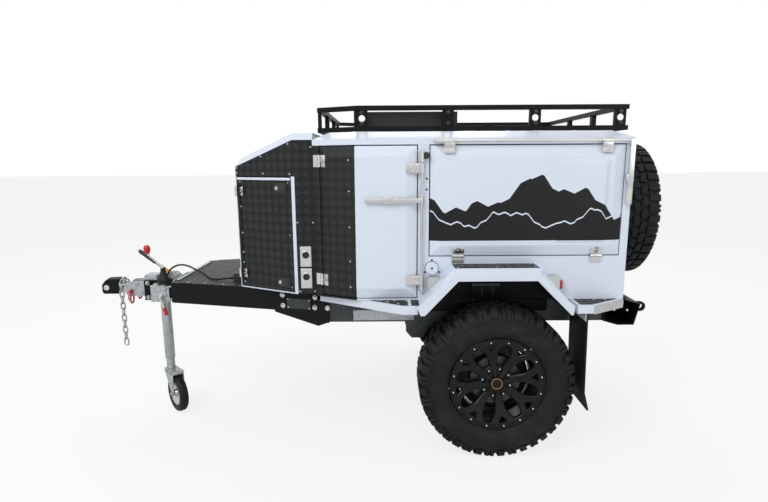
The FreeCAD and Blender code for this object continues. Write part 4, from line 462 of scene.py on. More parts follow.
@dataclass(frozen=True)
class Galvanised(Finish):
    """Zinc-coated steel with its crystals."""

    name: str = "galvanised"
    light: Triple = (0.54, 0.57, 0.58)
    dark: Triple = (0.27, 0.295, 0.31)
    metallic: float = 0.85

    def build(self, graph: Graph) -> Wire:
        """Crystals under soft clouds."""
        spangle = graph.cells(130.0)
        cloud = graph.noise(14.0, 5.0)
        colour = graph.blend((spangle * 0.6 + cloud * 0.5).clamp(), self.dark, self.light)
        normal = graph.bump(cloud, 0.0008, 0.35, graph.edges(0.0015))
        return graph.shader(colour, spangle * 0.18 + 0.32, normal, self.metallic)


@dataclass(frozen=True)
class Stainless(Finish):
    """Stainless steel, polished or brushed along one axis."""

    name: str = "stainless"
    colour: Triple = (0.66, 0.66, 0.65)
    roughness: float = 0.24
    grain: Triple = (0.04, 1.0, 1.0)

    def build(self, graph: Graph) -> Wire:
        """Long grain and faint smears."""
        grain = graph.noise(700.0, 2.0, self.grain)
        smear = graph.noise(12.0, 4.0)
        colour = graph.blend(smear * 0.5, self.colour, tuple(c * 0.72 for c in self.colour))
        normal = graph.bump(grain, 0.0002, 0.35, graph.edges(0.0012))
        return graph.shader(colour, grain * 0.12 + self.roughness, normal, 1.0)


@dataclass(frozen=True)
class Rubber(Finish):
    """Rubber with dust in its low places and a fine grain."""

    name: str = "tyre_rubber"
    colour: Triple = (0.008, 0.0092, 0.0102)
    dust: Triple = (0.034, 0.034, 0.034)
    dust_share: float = 0.55
    roughness: float = 0.62

    def build(self, graph: Graph) -> Wire:
        """Dusty clouds over a grain."""
        cloud = graph.noise(18.0, 8.0).step(0.4, 0.85) * self.dust_share
        colour = graph.blend(cloud, self.colour, self.dust)
        normal = graph.bump(graph.noise(420.0, 3.0), 0.0004, 0.4)
        return graph.shader(colour, cloud * 0.2 + self.roughness, normal, Specular_IOR_Level=0.2)


@dataclass(frozen=True)
class Enamel(Finish):
    """Painted or moulded part of one colour with slight wear."""

    name: str = "red_enamel"
    colour: Triple = (0.50, 0.012, 0.018)
    roughness: float = 0.3
    grain: float = 0.0002

    def build(self, graph: Graph) -> Wire:
        """Darker and rougher where it is worn."""
        wear = graph.noise(45.0, 5.0)
        dull = tuple(c * 0.55 + 0.01 for c in self.colour)
        colour = graph.blend(wear.step(0.35, 0.9) * 0.6, self.colour, dull)
        normal = graph.bump(graph.noise(600.0, 2.0), self.grain, 0.5, graph.edges(0.0008))
        return graph.shader(colour, wear * 0.2 + self.roughness, normal)


@dataclass(frozen=True)
class Lens(Finish):
    """Ribbed lamp lens."""

    name: str = "red_lens"
    colour: Triple = (0.5, 0.01, 0.01)
    pitch: float = 0.006

    def build(self, graph: Graph) -> Wire:
        """Crossed ribs under a clear coat."""
        _, y, z = graph.axes()
        ribs = abs((y / self.pitch).fract() - 0.5) + abs((z / self.pitch).fract() - 0.5)
        shade = graph.blend(ribs.clamp(), self.colour, tuple(c * 0.6 for c in self.colour))
        return graph.shader(shade, ribs * 0.1 + 0.08, graph.bump(ribs, 0.0006, 0.5), Coat_Weight=0.8)


@dataclass(frozen=True)
class Floor(Finish):
    """Pale studio floor that glows towards the camera, so that it meets the backdrop."""

    name: str = "studio_floor"
    glow_share: float = 0.8

    def build(self, graph: Graph) -> Wire:
        """Matt floor mixed with a white glow where the camera sees it."""
        cloud = graph.noise(0.7, 4.0)
        colour = graph.blend(cloud, (0.80, 0.805, 0.81), (0.84, 0.845, 0.85))
        matt = graph.shader(colour, 0.85, graph.bump(cloud, 0.001, 0.1))
        seen = Wire(graph, graph.node("ShaderNodeLightPath").outputs["Is Camera Ray"])
        glow = graph.node("ShaderNodeEmission", {"Color": WHITE_LIGHT, "Strength": 1.0})
        mixed = graph.node("ShaderNodeMixShader", {0: seen * self.glow_share, 1: matt, 2: glow.outputs[0]})
        return Wire(graph, mixed.outputs[0])


WHITE = PowderCoat()
BLACK = PowderCoat("black_coat", (0.006, 0.0066, 0.0072), (0.016, 0.016, 0.016), dirt_share=0.2,
                   roughness=0.42, peel=0.0002, edge=0.002, coat=0.0, specular=0.12)
RIM_COAT = PowderCoat("rim_coat", (0.0035, 0.0042, 0.0046), (0.010, 0.010, 0.011), dirt_share=0.25,
                      roughness=0.30, peel=0.00008, edge=0.0012, coat=0.0, specular=0.24)
HILLS = HillPrint()
TWO_TONE = TwoTone()
PLATE_SIDE = Chequer()
PLATE_FLAT = Chequer("chequer_flat", Lie.FLAT, worn=(0.15, 0.16, 0.17), specular=0.1)
ZINC = Galvanised()
DARK_ZINC = Galvanised("chassis_zinc", (0.075, 0.082, 0.082), (0.030, 0.034, 0.034), 0.8)
STEEL = Stainless()
POLISHED = Stainless("polished_steel", (0.74, 0.74, 0.73), 0.14)
TYRE = Rubber()
FLAP = Rubber("flap_rubber", (0.008, 0.008, 0.009), (0.03, 0.03, 0.03), 0.3, 0.5)
CABLE = Rubber("cable_sheath", (0.014, 0.014, 0.015), (0.04, 0.04, 0.04), 0.3, 0.45)
PLASTIC = Enamel("black_plastic", (0.014, 0.014, 0.015), 0.42, 0.0004)
PALE = Enamel("pale_plastic", (0.62, 0.62, 0.60), 0.35)
BRONZE = Enamel("bronze_ring", (0.42, 0.20, 0.07), 0.28)
RED = Enamel()
ORANGE = Enamel("orange_passivate", (0.52, 0.20, 0.06), 0.3)
YELLOW = Enamel("yellow_passivate", (0.60, 0.42, 0.05), 0.3)
RED_LENS = Lens()
CLEAR_LENS = Lens("clear_lens", (0.62, 0.64, 0.66))


# Mesh making

class Shape:
    """A mesh in the making, in metres in the part's frame."""

    def __init__(self) -> None:
        self.mesh = bmesh.new()

    def faces_of(self, rings: Sequence[Sequence[Vector]], closed: bool, caps: bool) -> list[bmesh.types.BMVert]:
        """Join rings of points by quads.

        Args:
            rings: Rings with equal numbers of points.
            closed: Whether the last ring meets the first.
            caps: Whether the two ends are filled.

        Returns:
            The new vertices.
        """
        rows = [[self.mesh.verts.new(p) for p in ring] for ring in rings]
        pairs = list(zip(rows, rows[1:])) + ([(rows[-1], rows[0])] if closed else [])
        for near, far in pairs:
            for i in range(len(near)):
                j = (i + 1) % len(near)
                self.mesh.faces.new((near[i], near[j], far[j], far[i]))
        if caps and not closed:
            self.mesh.faces.new(list(reversed(rows[0])))
            self.mesh.faces.new(rows[-1])
        return [v for row in rows for v in row]

    def prism(self, outline: Sequence[Vector], run: Vector, bevel: float = 0.0) -> "Shape":
        """Outline drawn along a vector, with its edges rounded."""
        made = self.faces_of([list(outline), [p + run for p in outline]], False, True)
        if bevel > 0:
            edges = list({e for v in made for e in v.link_edges})
            bmesh.ops.bevel(self.mesh, geom=edges, offset=bevel, segments=2, profile=0.6, affect="EDGES",
                            clamp_overlap=True)
        return self

    def slab(self, x: Pair, y: Pair, z: Pair, bevel: float = 1.5) -> "Shape":
        """Box between limits, with its edges rounded.

        Args:
            x: Limits along the trailer, in millimetres about the axle.
            y: Limits across it.
            z: Limits of height.
            bevel: Width of its rounded edges.

        Returns:
            This shape.
        """
        low, high = mm(x[0], y[0], z[0]), mm(x[1], y[1], z[1])
        outline = [Vector((low.x, low.y, low.z)), Vector((high.x, low.y, low.z)),
                   Vector((high.x, high.y, low.z)), Vector((low.x, high.y, low.z))]
        return self.prism(outline, Vector((0, 0, high.z - low.z)), bevel / 1000)

    def lathe(self, profile: Profile, centre: Vector, axis: Vector, sides: int = 32,
              ring: bool = False) -> "Shape":
        """Turn a (radius, height) profile about an axis.

        Args:
            profile: Radii and heights in metres; a zero radius closes an end.
            centre: Where height is zero.
            axis: Direction of height.
            sides: Number of sides.
            ring: Whether the profile closes on itself.

        Returns:
            This shape.
        """
        axis = axis.normalized()
        side = axis.orthogonal().normalized()
        other = axis.cross(side)
        spokes = [side * math.cos(TAU * i / sides) + other * math.sin(TAU * i / sides) for i in range(sides)]
        rings = [[centre + axis * h + spoke * max(r, 1e-5) for spoke in spokes] for r, h in profile]
        self.faces_of(rings, ring, not ring)
        return self

    def rod(self, start: Vector, end: Vector, radius: float, sides: int = 24,
            bevel: float = 0.0015) -> "Shape":
        """Round bar with eased ends."""
        length = (end - start).length
        ease = min(bevel, radius * 0.6, length * 0.3)
        profile = ((radius - ease, 0.0), (radius, ease), (radius, length - ease), (radius - ease, length))
        return self.lathe(profile, start, end - start, sides)

    def tube(self, points: Sequence[Vector], radius: float, sides: int = 16, closed: bool = False) -> "Shape":
        """Round section swept along points, its frame carried without twist."""
        count = len(points)
        rings = []
        normal: Vector | None = None
        for i, point in enumerate(points):
            ahead = points[(i + 1) % count] if closed or i + 1 < count else point
            behind = points[i - 1] if closed or i > 0 else point
            run = (ahead - behind).normalized()
            normal = run.orthogonal() if normal is None else normal - run * normal.dot(run)
            normal.normalize()
            across = run.cross(normal)
            turns = (TAU * k / sides for k in range(sides))
            rings.append([point + (normal * math.cos(turn) + across * math.sin(turn)) * radius
                          for turn in turns])
        self.faces_of(rings, closed, not closed)
        return self

    def add(self, other: bpy.types.Mesh, place: Matrix | None = None) -> "Shape":
        """Add the faces of a finished mesh, moved to a place."""
        first = len(self.mesh.verts)
        self.mesh.from_mesh(other)
        if place is not None:
            self.mesh.verts.ensure_lookup_table()
            bmesh.ops.transform(self.mesh, matrix=place, verts=self.mesh.verts[first:])
        return self

    def mirrored(self) -> "Shape":
        """Add the same shape on the trailer's other side."""
        copy = bmesh.ops.duplicate(self.mesh, geom=self.mesh.verts[:] + self.mesh.edges[:] + self.mesh.faces[:])
        verts = [item for item in copy["geom"] if isinstance(item, bmesh.types.BMVert)]
        for vert in verts:
            vert.co.y = -vert.co.y
        bmesh.ops.reverse_faces(self.mesh, faces=[f for f in copy["geom"] if isinstance(f, bmesh.types.BMFace)])
        return self

    def data(self, name: str, smooth: float = SMOOTH_ANGLE) -> bpy.types.Mesh:
        """Close the work and return its mesh, smooth below an angle in degrees."""
        bmesh.ops.recalc_face_normals(self.mesh, faces=self.mesh.faces)
        made = bpy.data.meshes.new(name)
        self.mesh.to_mesh(made)
        self.mesh.free()
        made.shade_smooth()
        made.set_sharp_from_angle(angle=math.radians(smooth))
        return made

    def piece(self, name: str, finish: Finish, body: str = "trailer", replaced: Iterable[str] = (),
              smooth: float = SMOOTH_ANGLE) -> bpy.types.Object:
        """Make the piece, dress it and let it ride on a body.

        Args:
            name: Name of the piece.
            finish: Its finish.
            body: Body that it moves with.
            replaced: Nodes that it stands for.
            smooth: Angle in degrees under which edges are smooth.

        Returns:
            The piece.
        """
        return place_piece(name, self.data(name, smooth), finish, body, replaced)

    def both(self, name: str, finish: Finish, body: str = "trailer", replaced: Iterable[str] = (),
             smooth: float = SMOOTH_ANGLE) -> None:
        """Place this left-hand shape and its mirror image.

        Args:
            name: Name of the pieces, before their side.
            finish: Their finish.
            body: Body, with {} for the side.
            replaced: Nodes that they stand for, with {} for the side.
            smooth: Angle in degrees under which edges are smooth.
        """
        mesh = self.data(name + "_source", smooth)
        for side in Side:
            Shape().add(mesh, MIRROR if side is Side.RIGHT else None).piece(
                f"{name}_{side.value}", finish, body.format(side.value),
                [node.format(side.value) for node in replaced], smooth)


def place_piece(name: str, mesh: bpy.types.Mesh, finish: Finish, body: str,
                replaced: Iterable[str] = ()) -> bpy.types.Object:
    """Link a finished mesh as a piece that rides on a body."""
    mesh.materials.clear()
    mesh.materials.append(finish.material())
    made = bpy.data.objects.new(name, mesh)
    bpy.context.scene.collection.objects.link(made)
    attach(made, body)
    replaced = tuple(replaced)
    if replaced:
        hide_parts(*replaced)
    log.info("%s rides on %s with %d faces", name, body, len(mesh.polygons))
    return made


# Geometry node trees

class Field(Nodes):
    """A geometry node tree with its named inputs."""

    def __init__(self, name: str, **settings: str) -> None:
        """Start the tree.

        Args:
            name: Name of the tree.
            **settings: Kind of each input besides the geometry, such as Float.
        """
        super().__init__(bpy.data.node_groups.new(name, "GeometryNodeTree"))
        interface = self.tree.interface
        for way in ("INPUT", "OUTPUT"):
            interface.new_socket("Geometry", in_out=way, socket_type="NodeSocketGeometry")
        self.sockets = {
            key: interface.new_socket(key, in_out="INPUT", socket_type="NodeSocket" + kind).identifier
            for key, kind in settings.items()}
        self.entry = self.tree.nodes.new("NodeGroupInput").outputs
        self.exit = self.tree.nodes.new("NodeGroupOutput")

    def close(self, points: bpy.types.NodeSocket, instance: bpy.types.NodeSocket,
              rotation: bpy.types.NodeSocket) -> None:
        """Put an instance on the points, realize it, set its material and end the tree."""
        placed = self.node("GeometryNodeInstanceOnPoints", {
            "Points": points, "Instance": instance, "Rotation": rotation})
        real = self.node("GeometryNodeRealizeInstances", {0: placed.outputs[0]})
        dressed = self.node("GeometryNodeSetMaterial", {0: real.outputs[0], "Material": self.entry["Finish"]})
        self.tree.links.new(dressed.outputs[0], self.exit.inputs[0])

    def bake(self, source: bpy.types.Mesh, name: str, **values: object) -> bpy.types.Mesh:
        """Run the tree over a mesh and return the result as a plain mesh."""
        carrier = bpy.data.objects.new(name + "_source", source)
        bpy.context.scene.collection.objects.link(carrier)
        modifier = carrier.modifiers.new(name, "NODES")
        modifier.node_group = self.tree
        for key, value in values.items():
            modifier[self.sockets[key]] = value
        graph = bpy.context.evaluated_depsgraph_get()
        made = bpy.data.meshes.new_from_object(carrier.evaluated_get(graph))
        made.name = name
        carrier.modifiers.clear()
        bpy.data.objects.remove(carrier)
        return made


class Wreath(Field):
    """Repeats a mesh about the Y axis."""

    def __init__(self) -> None:
        super().__init__("wreath", Count="Int", Start="Float", Finish="Material")
        count = self.entry["Count"]
        points = self.node("GeometryNodePoints", {"Count": count})
        index = self.node("GeometryNodeInputIndex")
        turn = self.maths("MULTIPLY_ADD", index.outputs[0], self.maths("DIVIDE", TAU, count),
                          self.entry["Start"])
        angles = self.node("ShaderNodeCombineXYZ", {1: turn})
        self.close(points.outputs[0], self.entry[0], angles.outputs[0])

    def around(self, source: bpy.types.Mesh, count: int, finish: Finish, start: float = 0.0) -> bpy.types.Mesh:
        """Mesh repeated a number of times round the Y axis."""
        return self.bake(source, source.name + "_ring", Count=count, Start=start, Finish=finish.material())


@dataclass(frozen=True)
class Fastener:
    """A rivet, screw or bolt by its finish and its head's sizes in metres; 6 sides make a hexagon."""

    finish: Finish
    radius: float
    rise: float
    washer: float = 0.001
    sides: int = 10


RIVET = Fastener(PALE, 0.0042, 0.0026)
GUARD_RIVET = Fastener(PALE, 0.0045, 0.0026)
SILL_RIVET = Fastener(PALE, 0.0052, 0.0030)
DECK_RIVET = Fastener(PALE, 0.0055, 0.0030)
LOCK_RIVET = Fastener(POLISHED, 0.0045, 0.003)
LABEL_RIVET = Fastener(STEEL, 0.004, 0.002)
SOCKET_SCREW = Fastener(STEEL, 0.0042, 0.0022)
HINGE_SCREW = Fastener(STEEL, 0.0042, 0.0016, sides=12)
FILLER_SCREW = Fastener(DARK_ZINC, 0.0052, 0.0024)
COUPLING_BOLT = Fastener(ZINC, 0.011, 0.011, 0.014, 12)
LUG_BOLT = Fastener(ZINC, 0.0085, 0.007, 0.012, 6)
CLAMP_BOLT = Fastener(ZINC, 0.009, 0.008, 0.012, 6)
DOME_BOLT = Fastener(POLISHED, 0.0105, 0.009, 0.0135, 12)
RACK_BOLT = Fastener(DARK_ZINC, 0.0075, 0.006, 0.010, 6)
BUMPER_BOLT = Fastener(DARK_ZINC, 0.009, 0.007, 0.012, 6)


def mirror(places: Places) -> Places:
    """Fastener places of the right side from those of the left."""
    return [(MIRROR @ point, MIRROR @ way) for point, way in places]


class Heads(Field):
    """Puts a fastener's head on each point, facing along the point's own direction."""

    crown_share = 0.62
    washer_sides = 16
    washer_depth = 0.0015

    def __init__(self) -> None:
        super().__init__("heads", Radius="Float", Rise="Float", Washer="Float", Sides="Int", Finish="Material")
        entry = self.entry
        facing = self.node("GeometryNodeInputNamedAttribute", {"Name": "facing"}, data_type="FLOAT_VECTOR")
        turn = self.node("FunctionNodeAlignRotationToVector", {"Vector": facing.outputs[0]}, axis="Z")
        crown = self.maths("MULTIPLY", entry["Radius"], self.crown_share)
        half = self.maths("MULTIPLY", entry["Rise"], 0.5)
        disc = self.drum(self.washer_sides, entry["Washer"], entry["Washer"], self.washer_depth)
        foot = self.drum(entry["Sides"], entry["Radius"], entry["Radius"], half)
        top = self.drum(entry["Sides"], entry["Radius"], crown, half)
        lift = self.node("ShaderNodeCombineXYZ", {2: half})
        raised = self.node("GeometryNodeTransform", {0: top, "Translation": lift.outputs[0]})
        joined = self.node("GeometryNodeJoinGeometry")
        for part in (disc, foot, raised.outputs[0]):
            self.tree.links.new(part, joined.inputs[0])
        points = self.node("GeometryNodeMeshToPoints", {0: entry[0]})
        self.close(points.outputs[0], joined.outputs[0], turn.outputs[0])

    def drum(self, sides: object, bottom: object, top: object, depth: object) -> bpy.types.NodeSocket:
        """Mesh of a drum or cone."""
        return self.node("GeometryNodeMeshCone", {"Vertices": sides, "Radius Top": top,
                                                  "Radius Bottom": bottom, "Depth": depth}).outputs[0]

    def on(self, name: str, places: Places, kind: Fastener, body: str = "trailer") -> None:
        """Set heads on places.

        Args:
            name: Name of the piece.
            places: Points with the directions that the heads face.
            kind: Finish and sizes of the heads.
            body: Body that they move with.
        """
        source = bpy.data.meshes.new(name + "_points")
        source.from_pydata([tuple(p) for p, _ in places], [], [])
        layer = source.attributes.new("facing", "FLOAT_VECTOR", "POINT")
        for item, (_, direction) in zip(layer.data, places):
            item.vector = direction.normalized()
        mesh = self.bake(source, name, Radius=kind.radius, Rise=kind.rise, Washer=kind.washer,
                         Sides=kind.sides, Finish=kind.finish.material())
        place_piece(name, mesh, kind.finish, body)

    def twice(self, name: str, places: Places, kind: Fastener) -> None:
        """Set heads on left-hand places and their mirror images, as one piece of the trailer."""
        self.on(name, [*places, *mirror(places)], kind)

    def both(self, name: str, places: Places, kind: Fastener, body: str) -> None:
        """Set heads on left-hand places and their mirror images, as a piece on each side's body.

        Args:
            name: Name of the pieces, before their side.
            places: Left-hand points with the directions that the heads face.
            kind: Finish and sizes of the heads.
            body: Body, with {} for the side.
        """
        for side in Side:
            self.on(f"{name}_{side.value}", places if side is Side.LEFT else mirror(places), kind,
                    body.format(side.value))


# Studio

@dataclass
class Studio:
    """Camera, light, backdrop and floor."""

    location: Triple = (0.134, -3.385, 1.480)
    yaw: float = 0.001
    pitch: float = 0.192
    roll: float = -0.006
    lens: float = 25.605
    sensor: float = 36.0
    shift: Pair = (-0.0041, 0.0213)
    floor_half: float = 60.0
    sky: float = 0.56
    aim: Triple = (0.0, 0.0, 0.9)
    lamps: tuple[tuple[Triple, float, float], ...] = (
        ((-2.8, -4.8, 5.6), 3.2, 216.0), ((4.2, -5.6, 3.0), 3.2, 57.0), ((0.3, 4.0, 5.6), 3.4, 144.0))

    def camera(self) -> None:
        """Set the camera where the photograph was taken from."""
        data = bpy.data.cameras.new("camera")
        data.lens, data.sensor_width = self.lens, self.sensor
        data.shift_x, data.shift_y = self.shift
        camera = bpy.data.objects.new("camera", data)
        bpy.context.scene.collection.objects.link(camera)
        level = math.cos(self.pitch)
        forward = Vector((math.sin(self.yaw) * level, math.cos(self.yaw) * level, -math.sin(self.pitch)))
        turn = forward.to_track_quat("-Z", "Y").to_matrix().to_4x4()
        roll = Matrix.Rotation(self.roll, 4, "Z")
        camera.matrix_world = Matrix.Translation(Vector(self.location)) @ turn @ roll
        bpy.context.scene.camera = camera

    def light(self) -> None:
        """Light the object softly and show a white backdrop to the camera and in reflections."""
        scene = bpy.context.scene
        scene.view_settings.view_transform = "Standard"
        world = bpy.data.worlds.new("studio")
        world.use_nodes = True
        scene.world = world
        nodes = Nodes(world.node_tree)
        backdrop = nodes.tree.nodes["Background"]
        path = nodes.node("ShaderNodeLightPath").outputs
        straight = nodes.maths("MAXIMUM", path["Is Camera Ray"], path["Is Transmission Ray"])
        seen = nodes.maths("MAXIMUM", straight, path["Is Glossy Ray"])
        shown = nodes.node("ShaderNodeMapRange", {"Value": seen, "To Min": self.sky})
        nodes.tree.links.new(shown.outputs["Result"], backdrop.inputs["Strength"])
        backdrop.inputs["Color"].default_value = WHITE_LIGHT
        for i, (place, size, power) in enumerate(self.lamps):
            data = bpy.data.lights.new(f"lamp_{i}", "AREA")
            data.size, data.energy = size, power
            lamp = bpy.data.objects.new(f"lamp_{i}", data)
            aim = (Vector(self.aim) - Vector(place)).to_track_quat("-Z", "Y").to_matrix().to_4x4()
            lamp.matrix_world = Matrix.Translation(Vector(place)) @ aim
            scene.collection.objects.link(lamp)

    def floor(self) -> None:
        """Lay the pale floor."""
        half = self.floor_half
        mesh = bpy.data.meshes.new("floor")
        corners = [(-half, -half, 0), (half, -half, 0), (half, half, 0), (-half, half, 0)]
        mesh.from_pydata(corners, [], [(0, 1, 2, 3)])
        mesh.materials.append(Floor().material())
        floor = bpy.data.objects.new("floor", mesh)
        bpy.context.scene.collection.objects.link(floor)


# Cord

LEAD_ROUTE = (
    (-0.7373, -0.3140, 0.8260), (-0.7770, -0.3140, 0.8260), (-0.8340, -0.3180, 0.8185),
    (-0.8870, -0.2840, 0.8185), (-0.9280, -0.2060, 0.8185), (-0.9820, -0.1120, 0.8185),
    (-1.0380, -0.0660, 0.8220), (-1.0840, -0.0460, 0.8420), (-1.1280, -0.0380, 0.8550),
    (-1.1720, -0.0380, 0.8520), (-1.2100, -0.0380, 0.8320), (-1.2350, -0.0370, 0.8000),
    (-1.2440, -0.0360, 0.7623))


@dataclass
class Lead:
    """Cable from the junction box on the deck, over the crossbeam and into the centre beam."""

    diameter: float = 0.011
    length: float = 0.688
    relief_length: float = 0.030

    def build(self) -> None:
        """Make the cable and its strain relief."""
        radius = self.diameter / 2
        curve = bpy.data.curves.new("lead_cable", "CURVE")
        curve.dimensions = "3D"
        curve.bevel_depth = radius
        curve.bevel_resolution = 5
        curve.resolution_u = 12
        curve.use_fill_caps = True
        spline = curve.splines.new("NURBS")
        spline.points.add(len(LEAD_ROUTE) - 1)
        for point, place in zip(spline.points, LEAD_ROUTE):
            point.co = (*place, 1.0)
        spline.order_u = 3
        spline.use_endpoint_u = True
        cable = bpy.data.objects.new("lead_cable", curve)
        bpy.context.scene.collection.objects.link(cable)
        curve.materials.append(CABLE.material())
        start, second = Vector(LEAD_ROUTE[0]), Vector(LEAD_ROUTE[1])
        profile = [(radius * 1.75, 0.0), (radius * 1.8, 0.003), (radius * 1.55, 0.006)]
        for i in range(4):
            h = 0.008 + i * 0.005
            profile += [(radius * (1.5 - i * 0.08), h), (radius * (1.3 - i * 0.06), h + 0.002),
                        (radius * (1.5 - i * 0.08), h + 0.003)]
        profile.append((radius * 1.12, self.relief_length))
        relief = Shape().lathe(profile, start, (second - start).normalized(), 24).piece("lead_relief", CABLE)
        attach(cable, "trailer")
        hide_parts("lead_cord")
        log.info("cable with %d points", len(LEAD_ROUTE))


# Road wheels

@dataclass
class RoadWheel:
    """Eight-spoke wheel with its lugged tyre, modelled about the Y axis with its face towards -Y."""

    lip: float = 0.239
    ring: float = 0.205
    ring_depth: float = 0.014
    bore: float = 0.226
    wall: float = 0.007
    hub: float = 0.086
    hub_depth: float = 0.045
    hub_thickness: float = 0.024
    cap: float = 0.029
    cap_depth: float = 0.015
    spokes: int = 8
    ring_bolts: int = 16
    turn: float = math.radians(-10.0)
    shoulder_pairs: int = 20
    centre_blocks: int = 36
    block_ease: float = 0.0014
    wreath: Wreath = field(default_factory=Wreath)
    parts: dict[str, bpy.types.Mesh] = field(default_factory=dict)

    def __post_init__(self) -> None:
        low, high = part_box("wheel_tyre_left")
        rim_low, rim_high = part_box("wheel_rim_left")
        self.radius = (high.x - low.x) / 2
        self.half = (high.y - low.y) / 2
        self.width = rim_high.y - rim_low.y

    def spoke(self) -> bpy.types.Mesh:
        """One spoke: a sloping stem that parts in two arms round a small notch."""
        shape = Shape()
        stem = ((0.070, 0.0175), (0.095, 0.0190), (0.125, 0.0220), (0.150, 0.0270), (0.168, 0.0350),
                (0.180, 0.0415))
        shape.faces_of([self.section(r, -half, half) for r, half in stem], False, True)
        arm = ((0.166, 0.000, 0.0340), (0.176, 0.001, 0.0390), (0.190, 0.0105, 0.0490), (0.209, 0.0220, 0.0650))
        for side in (-1, 1):
            sections = [self.section(r, *sorted((side * inner, side * outer))) for r, inner, outer in arm]
            shape.faces_of(sections, False, True)
        return shape.data("spoke", 28.0)

    def depth(self, r: float) -> float:
        """How far the spokes lie behind the lip's plane at a radius."""
        share = min(max((self.ring - r) / (self.ring - self.hub), 0.0), 1.0)
        return 0.004 + (self.hub_depth - 0.012) * share ** 0.8

    def section(self, r: float, left: float, right: float) -> list[Vector]:
        """Cross-section of a spoke at a radius, its front edges chamfered."""
        front, back = self.depth(r), self.depth(r) + self.hub_thickness
        cut = min(0.004, (right - left) * 0.3)
        points = ((left, back), (left, front + cut), (left + cut, front), (right - cut, front),
                  (right, front + cut), (right, back))
        return [Vector((x, y, math.sqrt(max(r * r - x * x, 0.0)))) for x, y in points]

    def rim(self) -> bpy.types.Mesh:
        """Barrel, ring, spokes, hub and bare cap in one mesh."""
        lip, bore, wall, width = self.lip, self.bore, self.wall, self.width
        barrel = [(lip, 0.002), (lip + 0.001, 0.006), (lip, 0.012), (bore, 0.022), (bore, 0.060),
                  (bore - 0.030, 0.078), (bore - 0.030, width - 0.045), (bore, width - 0.022),
                  (lip, width - 0.012), (lip, width), (bore - wall, width), (bore - wall - 0.030, width - 0.05),
                  (bore - wall - 0.030, 0.083), (bore - wall, 0.050), (self.ring + 0.004, 0.020),
                  (self.ring, self.ring_depth), (self.ring, 0.006), (self.ring + 0.002, 0.004),
                  (lip - 0.009, 0.004), (lip - 0.007, 0.0005), (lip - 0.002, 0.0)]
        shape = Shape().lathe(barrel, Vector(), AXIS_Y, 96, ring=True)
        depth, thick = self.hub_depth, self.hub_thickness
        hub = [(0.0, depth - 0.006), (0.052, depth - 0.006), (0.056, depth), (self.hub - 0.003, depth),
               (self.hub, depth + 0.003), (self.hub, depth + thick), (0.0, depth + thick)]
        shape.lathe(hub, Vector(), AXIS_Y, 64)
        cap, top = self.cap, self.cap_depth
        cone = [(0.0, top + 0.002), (cap - 0.005, top + 0.002), (cap - 0.004, top), (cap, top),
                (cap + 0.002, top + 0.002), (cap + 0.003, top + 0.010), (cap + 0.012, top + 0.022),
                (cap + 0.014, depth), (0.0, depth)]
        shape.lathe(cone, Vector(), AXIS_Y, 48)
        shape.add(self.wreath.around(self.spoke(), self.spokes, RIM_COAT, self.turn))
        sections = []
        for r, w, drop in ((0.034, 0.0125, 0.013), (0.046, 0.0125, 0.016), (0.066, 0.0130, 0.021),
                           (0.092, 0.0175, 0.030)):
            foot, crest = depth + 0.004, top + drop
            sections.append([Vector((x, y, r)) for x, y in (
                (-w, foot), (-w * 0.6, crest), (w * 0.6, crest), (w, foot))])
        rib = Shape()
        rib.faces_of(sections, False, True)
        shape.add(self.wreath.around(rib.data("rib"), self.spokes, RIM_COAT, self.turn))
        return shape.data("rim", 30.0)

    def heads(self) -> bpy.types.Mesh:
        """Silver ring bolts and hub nuts."""
        bolt = Shape().lathe(((0.0, -0.0062), (0.0032, -0.0058), (0.0052, -0.0036), (0.0058, 0.0),
                              (0.0058, 0.006), (0.0, 0.006)), Vector((0, 0.004, 0.2220)), AXIS_Y, 12)
        ring = self.wreath.around(bolt.data("ring_bolt"), self.ring_bolts, POLISHED, self.turn)
        nut = Shape().lathe(((0.0, -0.014), (0.0035, -0.0135), (0.0062, -0.010), (0.0068, 0.0), (0.0, 0.0)),
                            Vector((0, self.hub_depth, 0.071)), AXIS_Y, 12)
        nuts = self.wreath.around(nut.data("hub_nut"), self.spokes, POLISHED, self.turn + math.pi / self.spokes)
        return Shape().add(ring).add(nuts).data("heads")

    def shoulder_block(self, reach: float, half_arc: float, turn: float, cleft: bool) -> Shape:
        """A shoulder block of the +Y side that wraps down the sidewall to a radius.

        Args:
            reach: Radius of its lower end on the sidewall.
            half_arc: Half its angle about the axle.
            turn: Angle of its middle.
            cleft: Whether a groove parts its lower half.

        Returns:
            The shape.
        """
        top, half = self.radius, self.half
        outline = ((top - 0.020, 0.046), (top - 0.002, 0.047), (top, 0.050), (top - 0.0006, half - 0.034),
                   (top - 0.006, half - 0.018), (top - 0.022, half - 0.004), (reach + 0.003, half + 0.0035),
                   (reach, half + 0.001), (reach + 0.002, half - 0.006), (top - 0.026, half - 0.020))
        shape = Shape()
        fingers = ((-1.0, -0.16), (0.16, 1.0)) if cleft else ((-1.0, 1.0),)
        for low, high in fingers:
            cuts = ((low, self.block_ease), (low + 0.08, 0.0), (high - 0.08, 0.0), (high, self.block_ease))
            shape.faces_of([self.meridian(outline, turn + half_arc * share, inset) for share, inset in cuts],
                           False, True)
        if cleft:
            crown = [p for p in outline if p[0] > top - 0.021] + [(top - 0.022, half - 0.012)]
            shape.faces_of([self.meridian(crown, turn + half_arc * share, 0.0016) for share in (-0.5, 0.5)],
                           False, True)
        return shape

    @staticmethod
    def meridian(outline: Profile, angle: float, inset: float) -> list[Vector]:
        """Points of a (radius, y) outline in the plane at an angle, drawn in a little."""
        made = []
        for r, y in outline:
            size = r - inset
            made.append(Vector((size * math.sin(angle), y - inset, size * math.cos(angle))))
        return made

